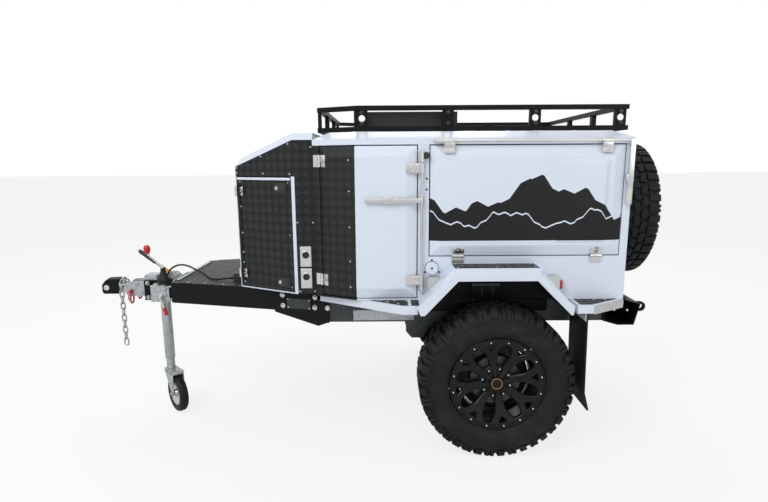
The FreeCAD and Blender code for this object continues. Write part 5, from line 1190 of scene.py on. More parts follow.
    def tyre(self) -> bpy.types.Mesh:
        """Carcass with its ribs, shoulder blocks and centre blocks."""
        top, half, lip = self.radius, self.half, self.lip
        side = [(lip + 0.002, half - 0.034), (lip + 0.003, half - 0.022), (lip + 0.010, half - 0.014),
                (lip + 0.014, half - 0.0125), (lip + 0.016, half - 0.0145), (lip + 0.030, half - 0.0055),
                (lip + 0.050, half - 0.001), (lip + 0.072, half), (lip + 0.090, half - 0.0005),
                (lip + 0.092, half + 0.0015), (lip + 0.096, half + 0.0015), (lip + 0.098, half - 0.001),
                (top - 0.036, half - 0.007), (top - 0.022, half - 0.020), (top - 0.014, half - 0.036),
                (top - 0.0125, half - 0.060)]
        profile = [(r, -y) for r, y in side] + [(r, y) for r, y in reversed(side)]
        shape = Shape().lathe(profile, Vector(), AXIS_Y, 120, ring=True)
        pitch = math.pi / self.shoulder_pairs
        long_block = self.shoulder_block(top - 0.056, pitch * 0.36, 0.0, True).data("long_block", 25.0)
        short_block = self.shoulder_block(top - 0.043, pitch * 0.30, pitch, False).data("short_block", 25.0)
        pair = Shape().add(long_block).add(short_block).data("pair", 25.0)
        blocks = self.wreath.around(pair, self.shoulder_pairs, TYRE)
        flip = Matrix.Rotation(pitch / 2, 4, "Y") @ Matrix.Rotation(math.pi, 4, "X")
        shape.add(blocks).add(blocks, flip)
        centre = Shape()
        step = TAU / self.centre_blocks
        for side_y, shift in ((-0.021, 0.0), (0.021, 0.5)):
            outline = ((top - 0.016, side_y - 0.017), (top - 0.001, side_y - 0.016), (top, side_y - 0.014),
                       (top, side_y + 0.014), (top - 0.001, side_y + 0.016), (top - 0.016, side_y + 0.017))
            rings = []
            for share, inset in ((-0.36, self.block_ease), (-0.31, 0.0), (0.31, 0.0), (0.36, self.block_ease)):
                skew = Vector((0, math.copysign(0.010, side_y) * share, 0))
                rings.append([p + skew for p in self.meridian(outline, step * (share + shift), inset)])
            centre.faces_of(rings, False, True)
        shape.add(self.wreath.around(centre.data("centre_pair", 25.0), self.centre_blocks, TYRE))
        return shape.data("tyre", 32.0)

    def build(self) -> None:
        """Make the two road wheels and the spare."""
        rim, heads, tyre = self.rim(), self.heads(), self.tyre()
        inner, top = self.cap, self.cap_depth
        ring = ((inner - 0.0042, top - 0.001), (inner - 0.001, top - 0.001), (inner - 0.0005, top + 0.003),
                (inner - 0.0045, top + 0.003))
        for name, rim_node, tyre_node, body, degrees in (
                ("wheel_left", "wheel_rim_left", "wheel_tyre_left", "wheel_left", 0.0),
                ("wheel_right", "wheel_rim_right", "wheel_tyre_right", "wheel_right", 180.0),
                ("spare", "spare_rim", "spare_tyre", "trailer", 90.0)):
            low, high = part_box(rim_node)
            turn = Matrix.Rotation(math.radians(degrees), 4, "Z")
            out = turn @ Vector((0, -1, 0))
            face = (low + high) / 2 + out * (self.width / 2)
            low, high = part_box(tyre_node)
            middle = (low + high) / 2
            facing = Matrix.Translation(face) @ turn
            Shape().add(rim, facing).piece(f"{name}_rim", RIM_COAT, body, [rim_node], 30.0)
            Shape().add(heads, facing).piece(f"{name}_bolts", POLISHED, body)
            Shape().lathe(ring, face, -out, 48, ring=True).piece(f"{name}_cap_ring", BRONZE, body)
            Shape().add(tyre, Matrix.Translation(middle) @ turn).piece(
                f"{name}_tyre", TYRE, body, [tyre_node], 32.0)


# Walls, and the base of the sub-assemblies

@dataclass(frozen=True)
class Wall:
    """An upright wall seen from outside, measured in millimetres."""

    start: Vector
    run: Vector
    out: Vector

    @staticmethod
    def between(x0: float, half0: float, x1: float, half1: float) -> "Wall":
        """Left-hand wall from one plan corner to another."""
        start, end = mm(x0, -half0, 0), mm(x1, -half1, 0)
        run = (end - start).normalized()
        return Wall(start, run, Vector((run.y, -run.x, 0)))

    def at(self, along: float, height: float, proud: float = 0.0) -> Vector:
        """Point on the wall or off it."""
        return self.start + (self.run * along + self.out * proud) / 1000 + AXIS_Z * (height / 1000)

    def plate(self, shape: Shape, along: Pair, height: Pair, proud: Pair, bevel: float = 1.0) -> Shape:
        """Add a plate that lies on the wall.

        Args:
            shape: Shape that takes the plate.
            along: Limits along the wall.
            height: Limits of height.
            proud: How far its back and its face stand off.
            bevel: Width of its rounded edges.

        Returns:
            The shape.
        """
        corners = [self.at(along[i], height[0], proud[j]) for i, j in ((0, 0), (1, 0), (1, 1), (0, 1))]
        return shape.prism(corners, AXIS_Z * ((height[1] - height[0]) / 1000), bevel / 1000)

    def heads(self, spots: Iterable[Pair], proud: float) -> Places:
        """Fastener places at (along, height) spots."""
        return [(self.at(a, h, proud), self.out) for a, h in spots]


NOSE_WALL = Wall.between(-1338, 468, -1006, 653)
CORNER_WALL = Wall.between(-907, 653, -694, 755)
SIDE_WALL = Wall.between(0, 755, 100, 755)
FRONT_WALL = Wall.between(-1006, 653, -907, 653)
RAIL_WALL = Wall.between(-1713, 369, -1338, 464)
GUSSET_WALL = Wall.between(-1105, 540.5, -858, 606.7)


@dataclass
class Assembly:
    """Base of the sub-assemblies, which share the maker of fastener heads."""

    heads: Heads

    def build(self) -> None:
        """Make the whole sub-assembly."""
        raise NotImplementedError


# Coupling, chain and handbrake

@dataclass
class Coupling(Assembly):
    """Coupling head, tow shackles, safety chain and handbrake."""

    chain_x: float = -2208.2
    chain_pitch: float = 38.8
    chain_saddle_z: float = 756.8
    chain_left: int = 10
    chain_right: int = 3
    link_bend: float = 12.0
    link_straight: float = 12.5

    def head(self) -> None:
        """Black coupling head with its pale caps."""
        outline = [(-2335, 684), (-2327, 669), (-2225, 669), (-2225, 766), (-2292, 766), (-2312, 756),
                   (-2335, 728)]
        shape = Shape().prism([mm(x, -40, z) for x, z in outline], AXIS_Y * 0.080, 0.009)
        shape.slab((-2300, -2232), (-24, 24), (758, 767), 3)
        shape.lathe(((0.0, 0.0), (0.022, 0.0), (0.022, 0.002), (0.0, 0.002)), mm(-2305, -41.5, 710), AXIS_Y, 28)
        shape.piece("coupling_shell", BLACK, replaced=["coupling_head"])
        disc = Shape()
        for y in (-45.5, 41.0):
            disc.lathe(((0.0, 0.0), (0.0155, 0.0), (0.0170, 0.0012), (0.0170, 0.0045), (0.0, 0.0045)),
                       mm(-2303, y, 711), AXIS_Y, 32)
        disc.piece("coupling_caps", PALE)

    def shackles(self) -> None:
        """Red bow shackles through the lug plates."""
        x, y, pin_z = -2142, -57, 690
        bow = [(-17.5, pin_z), (-17.5, 674), (-18.5, 660), (-22, 646), (-21, 632), (-14, 621), (0, 616.8)]
        points = bow + [(-across, z) for across, z in reversed(bow[:-1])]
        shape = Shape().tube([mm(x, y + across, z) for across, z in points], 0.0055, 14)
        for eye in (y - 17.5, y + 17.5):
            shape.rod(mm(x, eye - 5.5, pin_z), mm(x, eye + 5.5, pin_z), 0.0105, 24, 0.002)
        shape.rod(mm(x, y - 22, pin_z), mm(x, y + 22, pin_z), 0.0068, 20)
        shape.rod(mm(x, y - 27, pin_z), mm(x, y - 21, pin_z), 0.0095, 6)
        shape.mirrored().piece("shackles", RED, replaced=["tow_shackles"])

    def chain(self) -> None:
        """Safety chain draped over the coupling shaft."""
        pitch, top_z = self.chain_pitch, self.chain_saddle_z
        step = pitch / math.sqrt(2)
        shoulder_y, shoulder_z = pitch / 2 + step, top_z - step
        joints = [(-shoulder_y, shoulder_z - pitch * i) for i in range(self.chain_left, -1, -1)]
        joints += [(-pitch / 2, top_z), (pitch / 2, top_z)]
        joints += [(shoulder_y, shoulder_z - pitch * i) for i in range(self.chain_right + 1)]
        shape = Shape()
        for i, (a, b) in enumerate(zip(joints, joints[1:])):
            centre = mm(self.chain_x, (a[0] + b[0]) / 2, (a[1] + b[1]) / 2)
            along = Vector((0, b[0] - a[0], b[1] - a[1])).normalized()
            across = AXIS_X if (i - self.chain_left - 1) % 2 == 1 else along.cross(AXIS_X)
            ring = []
            for sign in (1, -1):
                for turn in (math.pi * k / 8 for k in range(9)):
                    sideways = across * (self.link_bend * math.cos(turn))
                    endways = along * (self.link_straight + self.link_bend * math.sin(turn))
                    ring.append(centre + (sideways + endways) * (sign / 1000))
            shape.tube(ring, 0.0045, 10, True)
        shape.piece("chain", ZINC, replaced=["safety_chain"], smooth=50.0)

    def handbrake(self) -> None:
        """Handbrake lever on its bracket plates."""
        rise = math.radians(37.5)
        pivot, run = mm(-1905, 0, 792), Vector((-math.cos(rise), 0, math.sin(rise)))
        outline = [(-1965, 760), (-1835, 760), (-1835, 778), (-1868, 806), (-1913, 808), (-1930, 800)]
        plates = Shape()
        for y in (-16, 10):
            plates.prism([mm(x, y, z) for x, z in outline], AXIS_Y * 0.006, 0.0015)
        plates.rod(pivot - AXIS_Y * 0.021, pivot + AXIS_Y * 0.021, 0.0075)
        for y in (-22, 19):
            plates.rod(mm(-1905, y, 792), mm(-1905, y + 3, 792), 0.0115, 6, 0.0008)
        plates.piece("handbrake_plates", ZINC, replaced=["handbrake_lever"])
        ripples = tuple((13.6 if i % 2 else 12.2, 0.04 + i * 0.062) for i in range(15))
        for name, finish, low, high, profile in (
                ("fork", YELLOW, -16, 64, ((11, 0.0), (12, 0.08), (11, 0.6), (9, 1.0))),
                ("sleeve", ORANGE, 58, 118, ((9, 0.0), (9.5, 0.1), (9.5, 0.9), (9, 1.0))),
                ("grip", PLASTIC, 114, 240, ((8, 0.0), (12, 0.02), *ripples, (13, 0.95), (9, 1.0))),
                ("button", PALE, 238, 252, ((7.5, 0.0), (8, 0.2), (8, 0.7), (5, 1.0)))):
            length = high - low
            points = [(0.0, 0.0), *((r / 1000, length * share / 1000) for r, share in profile),
                      (0.0, length / 1000)]
            Shape().lathe(points, pivot + run * (low / 1000), run, 24).piece(f"handbrake_{name}", finish)

    def build(self) -> None:
        """Make the whole coupling."""
        self.head()
        self.shackles()
        self.chain()
        self.handbrake()
        Shape().slab((-2058.6, -2014.6), (-62.6, 62.6), (633.4, 760.6), 2).piece("coupling_block", BLACK)
        block = Wall.between(-2058, 62.6, -2015, 62.6)
        self.heads.twice("coupling_bolts", block.heads(((22, 743), (22, 652)), 0.3), COUPLING_BOLT)
        lugs = [(mm(x, -57.3, z), -AXIS_Y) for x, z in ((-2104, 735), (-2074, 680))]
        self.heads.twice("lug_bolts", lugs, LUG_BOLT)


# Jockey wheel

@dataclass
class Jockey(Assembly):
    """Jockey leg with its clamp, crank, fork and wheel."""

    x: float = -1868.0
    y: float = -215.0
    heading: float = math.radians(-48.0)
    axle_x: float = -1788.0
    axle_z: float = 112.0

    def up(self, z: float) -> Vector:
        """Point on the leg's axis."""
        return mm(self.x, self.y, z)

    def leg(self) -> None:
        """Outer tube, bell cap, crank and knob."""
        profile = [(0.0247, 0.3122), (0.0280, 0.3122), (0.0287, 0.3132), (0.0287, 0.7735), (0.0247, 0.7735)]
        base = self.up(0)
        Shape().lathe(profile, base, AXIS_Z, 48, ring=True).piece("jockey_leg", ZINC, replaced=["jockey_tube"])
        bell = ((0.0, 0.7742), (0.0365, 0.7742), (0.0378, 0.7765), (0.0378, 0.787), (0.0360, 0.792),
                (0.0372, 0.797), (0.0345, 0.806), (0.0280, 0.818), (0.0210, 0.832), (0.0165, 0.846),
                (0.0140, 0.862), (0.0132, 0.870), (0.0, 0.870))
        Shape().lathe(bell, base, AXIS_Z, 40).piece("jockey_bell", CABLE)
        reach = 84
        bend = [mm(self.x - back, self.y, z) for back, z in (
            (0, 862), (0, 869), (3, 877), (9, 884), (75, 947), (81, 953.5), (reach, 961), (reach, 972))]
        crank = Shape().tube(bend, 0.0078, 18)
        crank.rod(self.up(868), self.up(877), 0.0125, 28)
        crank.piece("jockey_crank", STEEL)
        knob = ((0.0, 0.0), (0.010, 0.0), (0.0125, 0.003), (0.0125, 0.008), (0.0165, 0.016), (0.0188, 0.026),
                (0.0188, 0.036), (0.0165, 0.045), (0.011, 0.0515), (0.0, 0.054))
        foot = mm(self.x - reach, self.y, 960) - AXIS_Z * 0.008
        Shape().lathe(knob, foot, AXIS_Z, 36).piece("jockey_knob", RED)

    def clamp(self) -> None:
        """Clamp block with its hollow bracket, a dark lining in the bracket as painted shade, plate, bolt,
        handle and grip.
        """
        x, y = self.x, self.y
        near, far, rear, front = y - 42, y + 42, x + 42, x - 73
        bore_radius, half_slot = 29.2, 14.5
        outer = [(front, y - half_slot), (front, near + 14), (front + 4, near + 5), (front + 14, near),
                 (rear, near), (rear, far), (front + 14, far), (front + 4, far - 5), (front, far - 14),
                 (front, y + half_slot)]
        start = math.pi - math.asin(half_slot / bore_radius)
        bore = [(x + bore_radius * math.cos(start - turn), y + bore_radius * math.sin(start - turn))
                for turn in (2 * start * k / 24 for k in range(25))]
        block = Shape().prism([mm(px, py, 672) for px, py in outer + bore], AXIS_Z * 0.096, 0.0)
        for across, height in (((-1788, -1780), (687, 768)), ((-1850, -1842), (687, 768)),
                               ((-1850, -1780), (760, 768)), ((-1850, -1780), (687, 695))):
            block.slab(across, (-260, -170), height)
        block.slab((-1780, -1774), (-290, -56), (694, 815), 1.2)
        block.piece("clamp_block", ZINC, "trailer", ["jockey_clamp"], 25.0)
        # Thin dark zinc back wall and liners inside the bracket's pocket: painted shade of the hollow
        pocket = Shape().slab((-1850, -1780), (-178, -170), (687, 768))
        for across, height in (((-1842, -1840.6), (695, 760)), ((-1789.4, -1788), (695, 760)),
                               ((-1842, -1788), (695, 696.4)), ((-1842, -1788), (758.6, 760))):
            pocket.slab(across, (-256, -178), height, 0.3)
        pocket.piece("clamp_pocket_shade", DARK_ZINC)
        steel = Shape()
        steel.rod(mm(x - 6, near - 26, 706), mm(x - 6, near + 2, 706), 0.009, 24)
        steel.rod(mm(x - 6, near - 9, 706), mm(x - 6, near - 1, 706), 0.0145, 6)
        top, low = mm(x - 6, near - 20, 706), mm(x + 14, near - 20, 640)
        run = (low - top).normalized()
        steel.rod(top, low, 0.006, 20).piece("clamp_screw", STEEL)
        ripples = [(0.0122 - 0.0011 * (i % 2), 0.003 + i * 0.0034) for i in range(12)]
        grip = [(0.0, 0.0), (0.0085, 0.0), *ripples, (0.0095, 0.0445), (0.0, 0.046)]
        Shape().lathe(grip, low - run * 0.001, run, 24).piece("clamp_grip", RED)
        spots = [(mm(-1780.3, py, pz), -AXIS_X) for py in (-282, -66, -110) for pz in (728, 800)]
        spots += [(mm(x + 20, near - 0.3, 750), -AXIS_Y), (mm(-1842, -224, 728), AXIS_X)]
        self.heads.on("clamp_bolts", spots, CLAMP_BOLT)

    def castor(self) -> None:
        """Inner tube, crown, fork and axle, then the rim and tyre."""
        turn = (Matrix.Translation(self.up(0)) @ Matrix.Rotation(self.heading, 4, "Z")
                @ Matrix.Translation(-self.up(0)))
        y, ax, az = self.y, self.axle_x, self.axle_z
        fork = Shape().rod(self.up(232), self.up(472), 0.0240, 40)
        fork.rod(self.up(250), self.up(262), 0.0262, 40)
        fork.slab((self.x - 24, ax + 24), (y - 35, y + 35), (231, 251), 3)
        cheek = [(self.x - 24, 246), (ax + 24, 246), (ax + 19, 118), (ax + 14, 100), (ax, 94.5), (ax - 14, 100),
                 (ax - 22, 122)]
        for side in (y - 35, y + 30):
            fork.prism([mm(px, side, pz) for px, pz in cheek], AXIS_Y * 0.005, 0.0012)
        fork.rod(mm(ax, y - 41, az), mm(ax, y + 41, az), 0.0078, 24)
        for side in (y - 43.5, y + 35.5):
            fork.rod(mm(ax, side, az), mm(ax, side + 8, az), 0.0125, 6, 0.001)
        Shape().add(fork.data("fork_source"), turn).piece("castor_fork", ZINC, "jockey_castor", ["jockey_fork"])
        centre = mm(ax, y, az)
        for name, finish, sides, profile in (
                ("rim", STEEL, 48,
                 ((0.0084, 0.0238), (0.022, 0.0238), (0.024, 0.022), (0.0245, 0.0125), (0.060, 0.0195),
                  (0.066, 0.0200), (0.0718, 0.0196))),
                ("tyre", FLAP, 64,
                 ((0.0722, 0.0200), (0.077, 0.0236), (0.084, 0.0242), (0.098, 0.0240), (0.1055, 0.0215),
                  (0.1105, 0.0160), (0.1120, 0.0100), (0.1108, 0.0085), (0.1108, 0.0065), (0.1122, 0.0050)))):
            outline = [(r, -h) for r, h in profile] + [(r, h) for r, h in reversed(profile)]
            source = Shape().lathe(outline, centre, AXIS_Y, sides, ring=True).data(f"castor_{name}_source")
            Shape().add(source, turn).piece(f"castor_{name}", finish, "jockey_wheel", [f"jockey_{name}"])

    def build(self) -> None:
        """Make the whole jockey wheel."""
        self.leg()
        self.clamp()
        self.castor()


# Hinges and locks

@dataclass(frozen=True)
class Hinge:
    """A polished hinge, measured in millimetres from the middle of its pin."""

    origin: Vector
    pin: Vector
    leaf: Vector
    out: Vector
    height: float
    slope: float
    radius: float = 7.4
    reach: float = 42.0
    seat: float = -6.7
    leaf_rise: float = 3.0

    def at(self, up: float, along: float, proud: float) -> Vector:
        """Point in the hinge's frame."""
        return self.origin + (self.pin * up + self.leaf * along + self.out * proud) / 1000

    def surface(self, along: float) -> float:
        """Height of the leaf's seat over the pin's axis."""
        return self.seat + self.slope * max(along - 2.5, 0.0)

    def moving(self, shape: Shape) -> None:
        """Middle knuckle and the leaf on the door."""
        half, third, reach = self.height / 2, self.height / 6 - 0.6, self.reach
        shape.rod(self.at(-third, 0, 0), self.at(third, 0, 0), self.radius / 1000, 20, 0.0008)
        for low, high, inner in ((-third, third, 3.0), (-half, half, 9.5)):
            outline = [self.at(low, along, self.surface(along) + rise) for along, rise in (
                (inner, 0), (reach, 0), (reach, self.leaf_rise), (inner, self.leaf_rise))]
            shape.prism(outline, self.pin * ((high - low) / 1000), 0.0008)

    def fixed(self, shape: Shape, foot: float) -> None:
        """Outer knuckles, and a pointed leaf below them where there is room."""
        half, third = self.height / 2, self.height / 6 + 0.2
        for low, high in ((-half, -third), (third, half)):
            shape.rod(self.at(low, 0, 0), self.at(high, 0, 0), self.radius / 1000, 20, 0.0008)
        if foot > 0:
            outline = [self.at(up, along, self.seat) for up, along in (
                (-half, -9), (half, -9), (half * 0.92, -foot * 0.55), (half * 0.42, -foot),
                (-half * 0.42, -foot), (-half * 0.92, -foot * 0.55))]
            shape.prism(outline, self.out * (self.leaf_rise / 1000), 0.0008)

    def screws(self) -> Places:
        """Places of the three screws on the leaf."""
        tilt = (self.out - self.leaf * self.slope).normalized()
        return [(self.at(self.height * share, 28, self.surface(28) + 3.1), tilt) for share in (-0.32, 0, 0.32)]


@dataclass
class Closures(Assembly):
    """Hinges, lock rods and flush locks of the doors and hatches."""

    lock_y: float = -775.0
    rod_x: float = -377.0

    def hinges(self) -> None:
        """Polished hinges of the doors and hatches."""
        groups: tuple[tuple[str, str, list[Hinge], float], ...] = (
            ("door_hinge", "side_door_{}_leaf",
             [Hinge(CORNER_WALL.at(40.75, z, 7.3), AXIS_Z, CORNER_WALL.run, CORNER_WALL.out, 58, 0.36)
              for z in (895, 1482)], 0.0),
            ("hatch_hinge", "hatch_{}_leaf",
             [Hinge(mm(x, -762, 1023.5), AXIS_X, AXIS_Z, -AXIS_Y, 58, 0.36) for x in (-199, 473)], 34.0),
            ("nose_hinge", "nose_door_{}_leaf",
             [Hinge(NOSE_WALL.at(8.9, z, 12.0), AXIS_Z, NOSE_WALL.run, NOSE_WALL.out, 50, 0.0)
              for z in (893, 1330)], 0.0))
        fixed = Shape()
        for name, body, hinges, foot in groups:
            moving = Shape()
            screws = []
            for hinge in hinges:
                hinge.moving(moving)
                hinge.fixed(fixed, foot)
                screws += hinge.screws()
            moving.both(name, POLISHED, body)
            self.heads.both(f"{name}_screws", screws, HINGE_SCREW, body)
        fixed.both("hinge_feet", POLISHED)

    def collar(self, shape: Shape, low: float, high: float, radius: float) -> None:
        """Add a collar on the side door's lock rod between two heights."""
        shape.rod(mm(self.rod_x, self.lock_y, low), mm(self.rod_x, self.lock_y, high), radius, 28)

    def door_lock(self) -> None:
        """Upright lock rod of the side door with its arms, sleeves and handle."""
        x, y = self.rod_x, self.lock_y
        shape = Shape().rod(mm(x, y, 850), mm(x, y, 1530), 0.006, 24)
        for z in (878, 1502):
            self.collar(shape, z - 27, z + 27, 0.010)
            self.collar(shape, z - 12, z - 8, 0.0112)
        for z in (907, 1447):
            shape.slab((x - 50, x), (y - 4.5, y + 4.5), (z - 24, z + 24), 2)
            shape.slab((x - 75, x - 47), (y - 4.5, -773.6), (z - 24, z + 24), 1)
            self.collar(shape, z - 24, z + 24, 0.0115)
        self.collar(shape, 1270, 1322, 0.010)
        shape.slab((-648, x), (-792, -783.6), (1284, 1308), 3.5)
        shape.slab((-558, -494), (-793.6, -773.6), (1280, 1312), 4)
        shape.both("door_lock", STEEL, "side_door_{}_leaf", ["side_door_lock_{}"])
        spots = [(x, z + dz) for x in (-418, -398) for z in (907, 1447) for dz in (-13, 13)]
        self.heads.both("door_lock_rivets", SIDE_WALL.heads(spots, 24.8), LOCK_RIVET, "side_door_{}_leaf")

    def hatch_lock(self) -> None:
        """Level lock rod of the hatch with its arms, drop handle and white grip."""
        y, z = self.lock_y, 1570
        shape = Shape().rod(mm(-320, y, z), mm(607, y, z), 0.006, 24)
        shape.rod(mm(-320, y, z), mm(-266, y, z), 0.010, 28)
        lips = Shape()
        for x in (-249, 491):
            shape.slab((x - 25, x + 25), (y - 9, y + 4.5), (1538, 1579), 2.5)
            shape.rod(mm(x - 25, y, z), mm(x + 25, y, z), 0.0112, 28)
            lips.slab((x - 25, x + 25), (y - 9, y + 1), (1516, 1540), 2.5)
        shape.slab((594, 620), (y - 9, y), (1310, 1576), 3)
        shape.slab((586, 621), (y - 8, -767), (1376, 1414), 2)
        shape.both("hatch_lock", STEEL, "hatch_{}_leaf", ["hatch_lock_{}"])
        grip = ((0.0, 0.0), (0.009, 0.0), (0.0125, 0.004), (0.0138, 0.014), (0.0138, 0.066), (0.0125, 0.078),
                (0.009, 0.084), (0.0, 0.084))
        lips.lathe(grip, mm(607, y - 1, 1268), AXIS_Z, 28)
        lips.both("hatch_grip", PALE, "hatch_{}_leaf")

    def nose_doors(self) -> None:
        """Pale trim, flush locks and rivets of the nose doors."""
        low, high, body = 822.0, 1402.0, "nose_door_{}_leaf"
        trim = NOSE_WALL.plate(Shape(), (13.9, 366.7), (high - 13, high), (4.0, 7.5))
        trim.both("nose_door_trim", WHITE, body)
        frames, locks, buttons = Shape(), Shape(), Shape()
        for z in (1349, 864):
            NOSE_WALL.plate(frames, (260, 340), (z - 25, z + 25), (0.4, 3.6), 1.5)
            NOSE_WALL.plate(locks, (263, 337), (z - 22, z + 22), (0.5, 5.0), 1.5)
            NOSE_WALL.plate(locks, (288, 330), (z - 15, z + 15), (4.0, 8.5), 2)
            buttons.lathe(((0.0, 0.0), (0.008, 0.0), (0.0095, 0.0015), (0.0095, 0.008), (0.0, 0.008)),
                          NOSE_WALL.at(275, z, 7.6), -NOSE_WALL.out, 28)
        frames.both("nose_door_lock_frame", DARK_ZINC, body)
        locks.both("nose_door_lock", PLASTIC, body)
        buttons.both("nose_door_button", STEEL, body)
        spots = [(a, z) for a in (28, 350) for z in (low + 22, high - 24)]
        spots += [(28, z) for z in (950, 1005, 1110, 1250)] + [(350, 1115)]
        self.heads.both("nose_door_rivets", NOSE_WALL.heads(spots, 0.4), RIVET, body)

    def build(self) -> None:
        """Make all the closures."""
        self.hinges()
        self.door_lock()
        self.hatch_lock()
        self.nose_doors()


# Small fittings of the body

@dataclass
class Fittings(Assembly):
    """Sockets, filler, knob, trims, rivets and bolts that stay on the body."""

    def sockets(self) -> None:
        """Stainless plates with their round sockets beside the nose box."""
        plates, sockets, rings = Shape(), Shape(), Shape()
        screws = []
        for z in (1008, 896):
            FRONT_WALL.plate(plates, (23, 80), (z - 52, z + 52), (0.3, 10.0), 3)
            centre = FRONT_WALL.at(52, z + 9, 10.0)
            sockets.lathe(((0.0, 0.0), (0.017, 0.0), (0.017, 0.009), (0.0150, 0.0105), (0.0128, 0.0105),
                           (0.0118, 0.003), (0.0, 0.003)), centre, -AXIS_Y, 36)
            rings.lathe(((0.0170, 0.0), (0.0205, 0.0), (0.0205, 0.002), (0.0188, 0.0032), (0.0170, 0.0032)),
                        centre, -AXIS_Y, 36, ring=True)
            screws += FRONT_WALL.heads([(52 + dx, z + dz) for dx in (-21, 21) for dz in (-42, 42)], 10.2)
        plates.both("socket_plate", STEEL)
        sockets.both("socket", PLASTIC)
        rings.both("socket_ring", POLISHED)
        self.heads.twice("socket_screws", screws, SOCKET_SCREW)

    def filler(self) -> None:
        """White filler with its cap, dark joint, lock and screws, and the black knob."""
        x, z, circle = -325, 965, 40
        centre = mm(x, -755.3, z)
        white = Shape()
        white.lathe(((0.034, 0.0), (0.0455, 0.0), (0.046, 0.002), (0.0445, 0.0055), (0.0365, 0.0065),
                     (0.034, 0.004)), centre, -AXIS_Y, 56, ring=True)
        white.lathe(((0.0, 0.0), (0.0315, 0.0), (0.0325, 0.003), (0.0320, 0.0125), (0.0295, 0.0155),
                     (0.0, 0.0165)), centre, -AXIS_Y, 56)
        white.piece("filler_cap", WHITE, replaced=["body_fittings"])
        dark = Shape().lathe(((0.0320, 0.0), (0.0350, 0.0), (0.0350, 0.0025), (0.0320, 0.0025)),
                             centre, -AXIS_Y, 56, ring=True)
        dark.rod(mm(x, -771.2, z), mm(x, -772.4, z), 0.0055, 20, 0.0004)
        knob = ((0.0, 0.0), (0.013, 0.0), (0.013, 0.004), (0.0075, 0.006), (0.0075, 0.012), (0.0145, 0.014),
                (0.0165, 0.017), (0.0165, 0.021), (0.013, 0.024), (0.0, 0.0245))
        dark.lathe(knob, mm(-357, -755.3, 1505), -AXIS_Y, 32)
        dark.piece("filler_joint", PLASTIC)
        spots = [(x + circle * math.sin(TAU * k / 3), z + circle * math.cos(TAU * k / 3)) for k in range(3)]
        screws = SIDE_WALL.heads(spots, 6.4) + SIDE_WALL.heads(((-352, 1397), (-352, 1346)), 0.3)
        self.heads.on("filler_screws", screws, FILLER_SCREW)

    def rivets(self) -> None:
        """Rivets of the tread plate, the sills and the drawbar."""
        nose = FRONT_WALL.heads([(92, 826), (92, 1180), (92, 1550), (16, 826), (14, 1180)], 0.4)
        nose += NOSE_WALL.heads([(10, 1450), (10, 1424), (178, 1508), (190, 1422), (356, 1566), (360, 1420)],
                                0.4)
        self.heads.twice("nose_rivets", nose, RIVET)
        door = CORNER_WALL.heads([(212, z) for z in (872, 1000, 1168, 1340, 1486)], 18.4)
        self.heads.both("door_rivets", door, RIVET, "side_door_{}_leaf")
        edge, sill_z = Wall.between(-895, 600, -474, 878), 803.2
        sill = [(edge.at(90 + k * 62, sill_z, -34), AXIS_Z) for k in range(7)]
        sill += [(mm(x, -768, sill_z), AXIS_Z) for x in (-640, -575, -510, -450)]
        sill += [(mm(x, y, sill_z), AXIS_Z) for x in (475, 530, 585) for y in (-846, -772)]
        self.heads.twice("sill_rivets", sill, SILL_RIVET)
        domes = GUSSET_WALL.heads([(0, 780), (1, 722), (184, 721), (255.7, 723)], 0.4)
        domes += GUSSET_WALL.heads([(182, 773)], -7.4)
        self.heads.twice("drawbar_bolts", domes, DOME_BOLT)
        deck = [(RAIL_WALL.at(a, 812.3, -16), AXIS_Z) for a in (40, 150, 260, 375, 490, 610, 730)]
        self.heads.twice("deck_rivets", deck, DECK_RIVET)

    def trims(self) -> None:
        """Pale corner strips, the deck's edge, the sill's joint, the chassis plate and the blank plate."""
        strip, low, high, proud = Shape(), 812.5, 1408, (0.4, 2.4)
        NOSE_WALL.plate(strip, (368.5, 380.6), (low, high), proud, 0.5)
        FRONT_WALL.plate(strip, (-0.5, 7), (low, high), proud, 0.5)
        NOSE_WALL.plate(strip, (0.3, 5.5), (low, high), proud, 0.5)
        NOSE_WALL.plate(strip, (0.3, 368.0), (low, 819), proud, 0.5)
        strip.both("corner_strip", WHITE)
        for name, finish, x, y, z, bevel in (
                ("deck_edge", ZINC, (-1764, -1744), (-292, -20), (809.4, 815), 1.2),
                ("sill_joint", WHITE, (-434, -399), (-881, -866), (762, 803.5), 2),
                ("sill_infill", PLATE_FLAT, (-434, -399), (-868, -757), (797, 801.5), 1),
                ("chassis_plate", ZINC, (-724, -402), (-588.5, -585.3), (650, 706), 1)):
            Shape().slab(x, y, z, bevel).both(name, finish)
        GUSSET_WALL.plate(Shape(), (26, 160), (709, 765), (0.4, 2.0), 0.4).piece("blank_plate", DARK_ZINC)
        corners = GUSSET_WALL.heads([(a, z) for a in (32, 154) for z in (715, 759)], 2.0)
        self.heads.on("blank_plate_rivets", corners, LABEL_RIVET)

    def build(self) -> None:
        """Make all the small fittings."""
        self.sockets()
        self.filler()
        self.rivets()
        self.trims()


# Mudguards, rack, suspension and rear

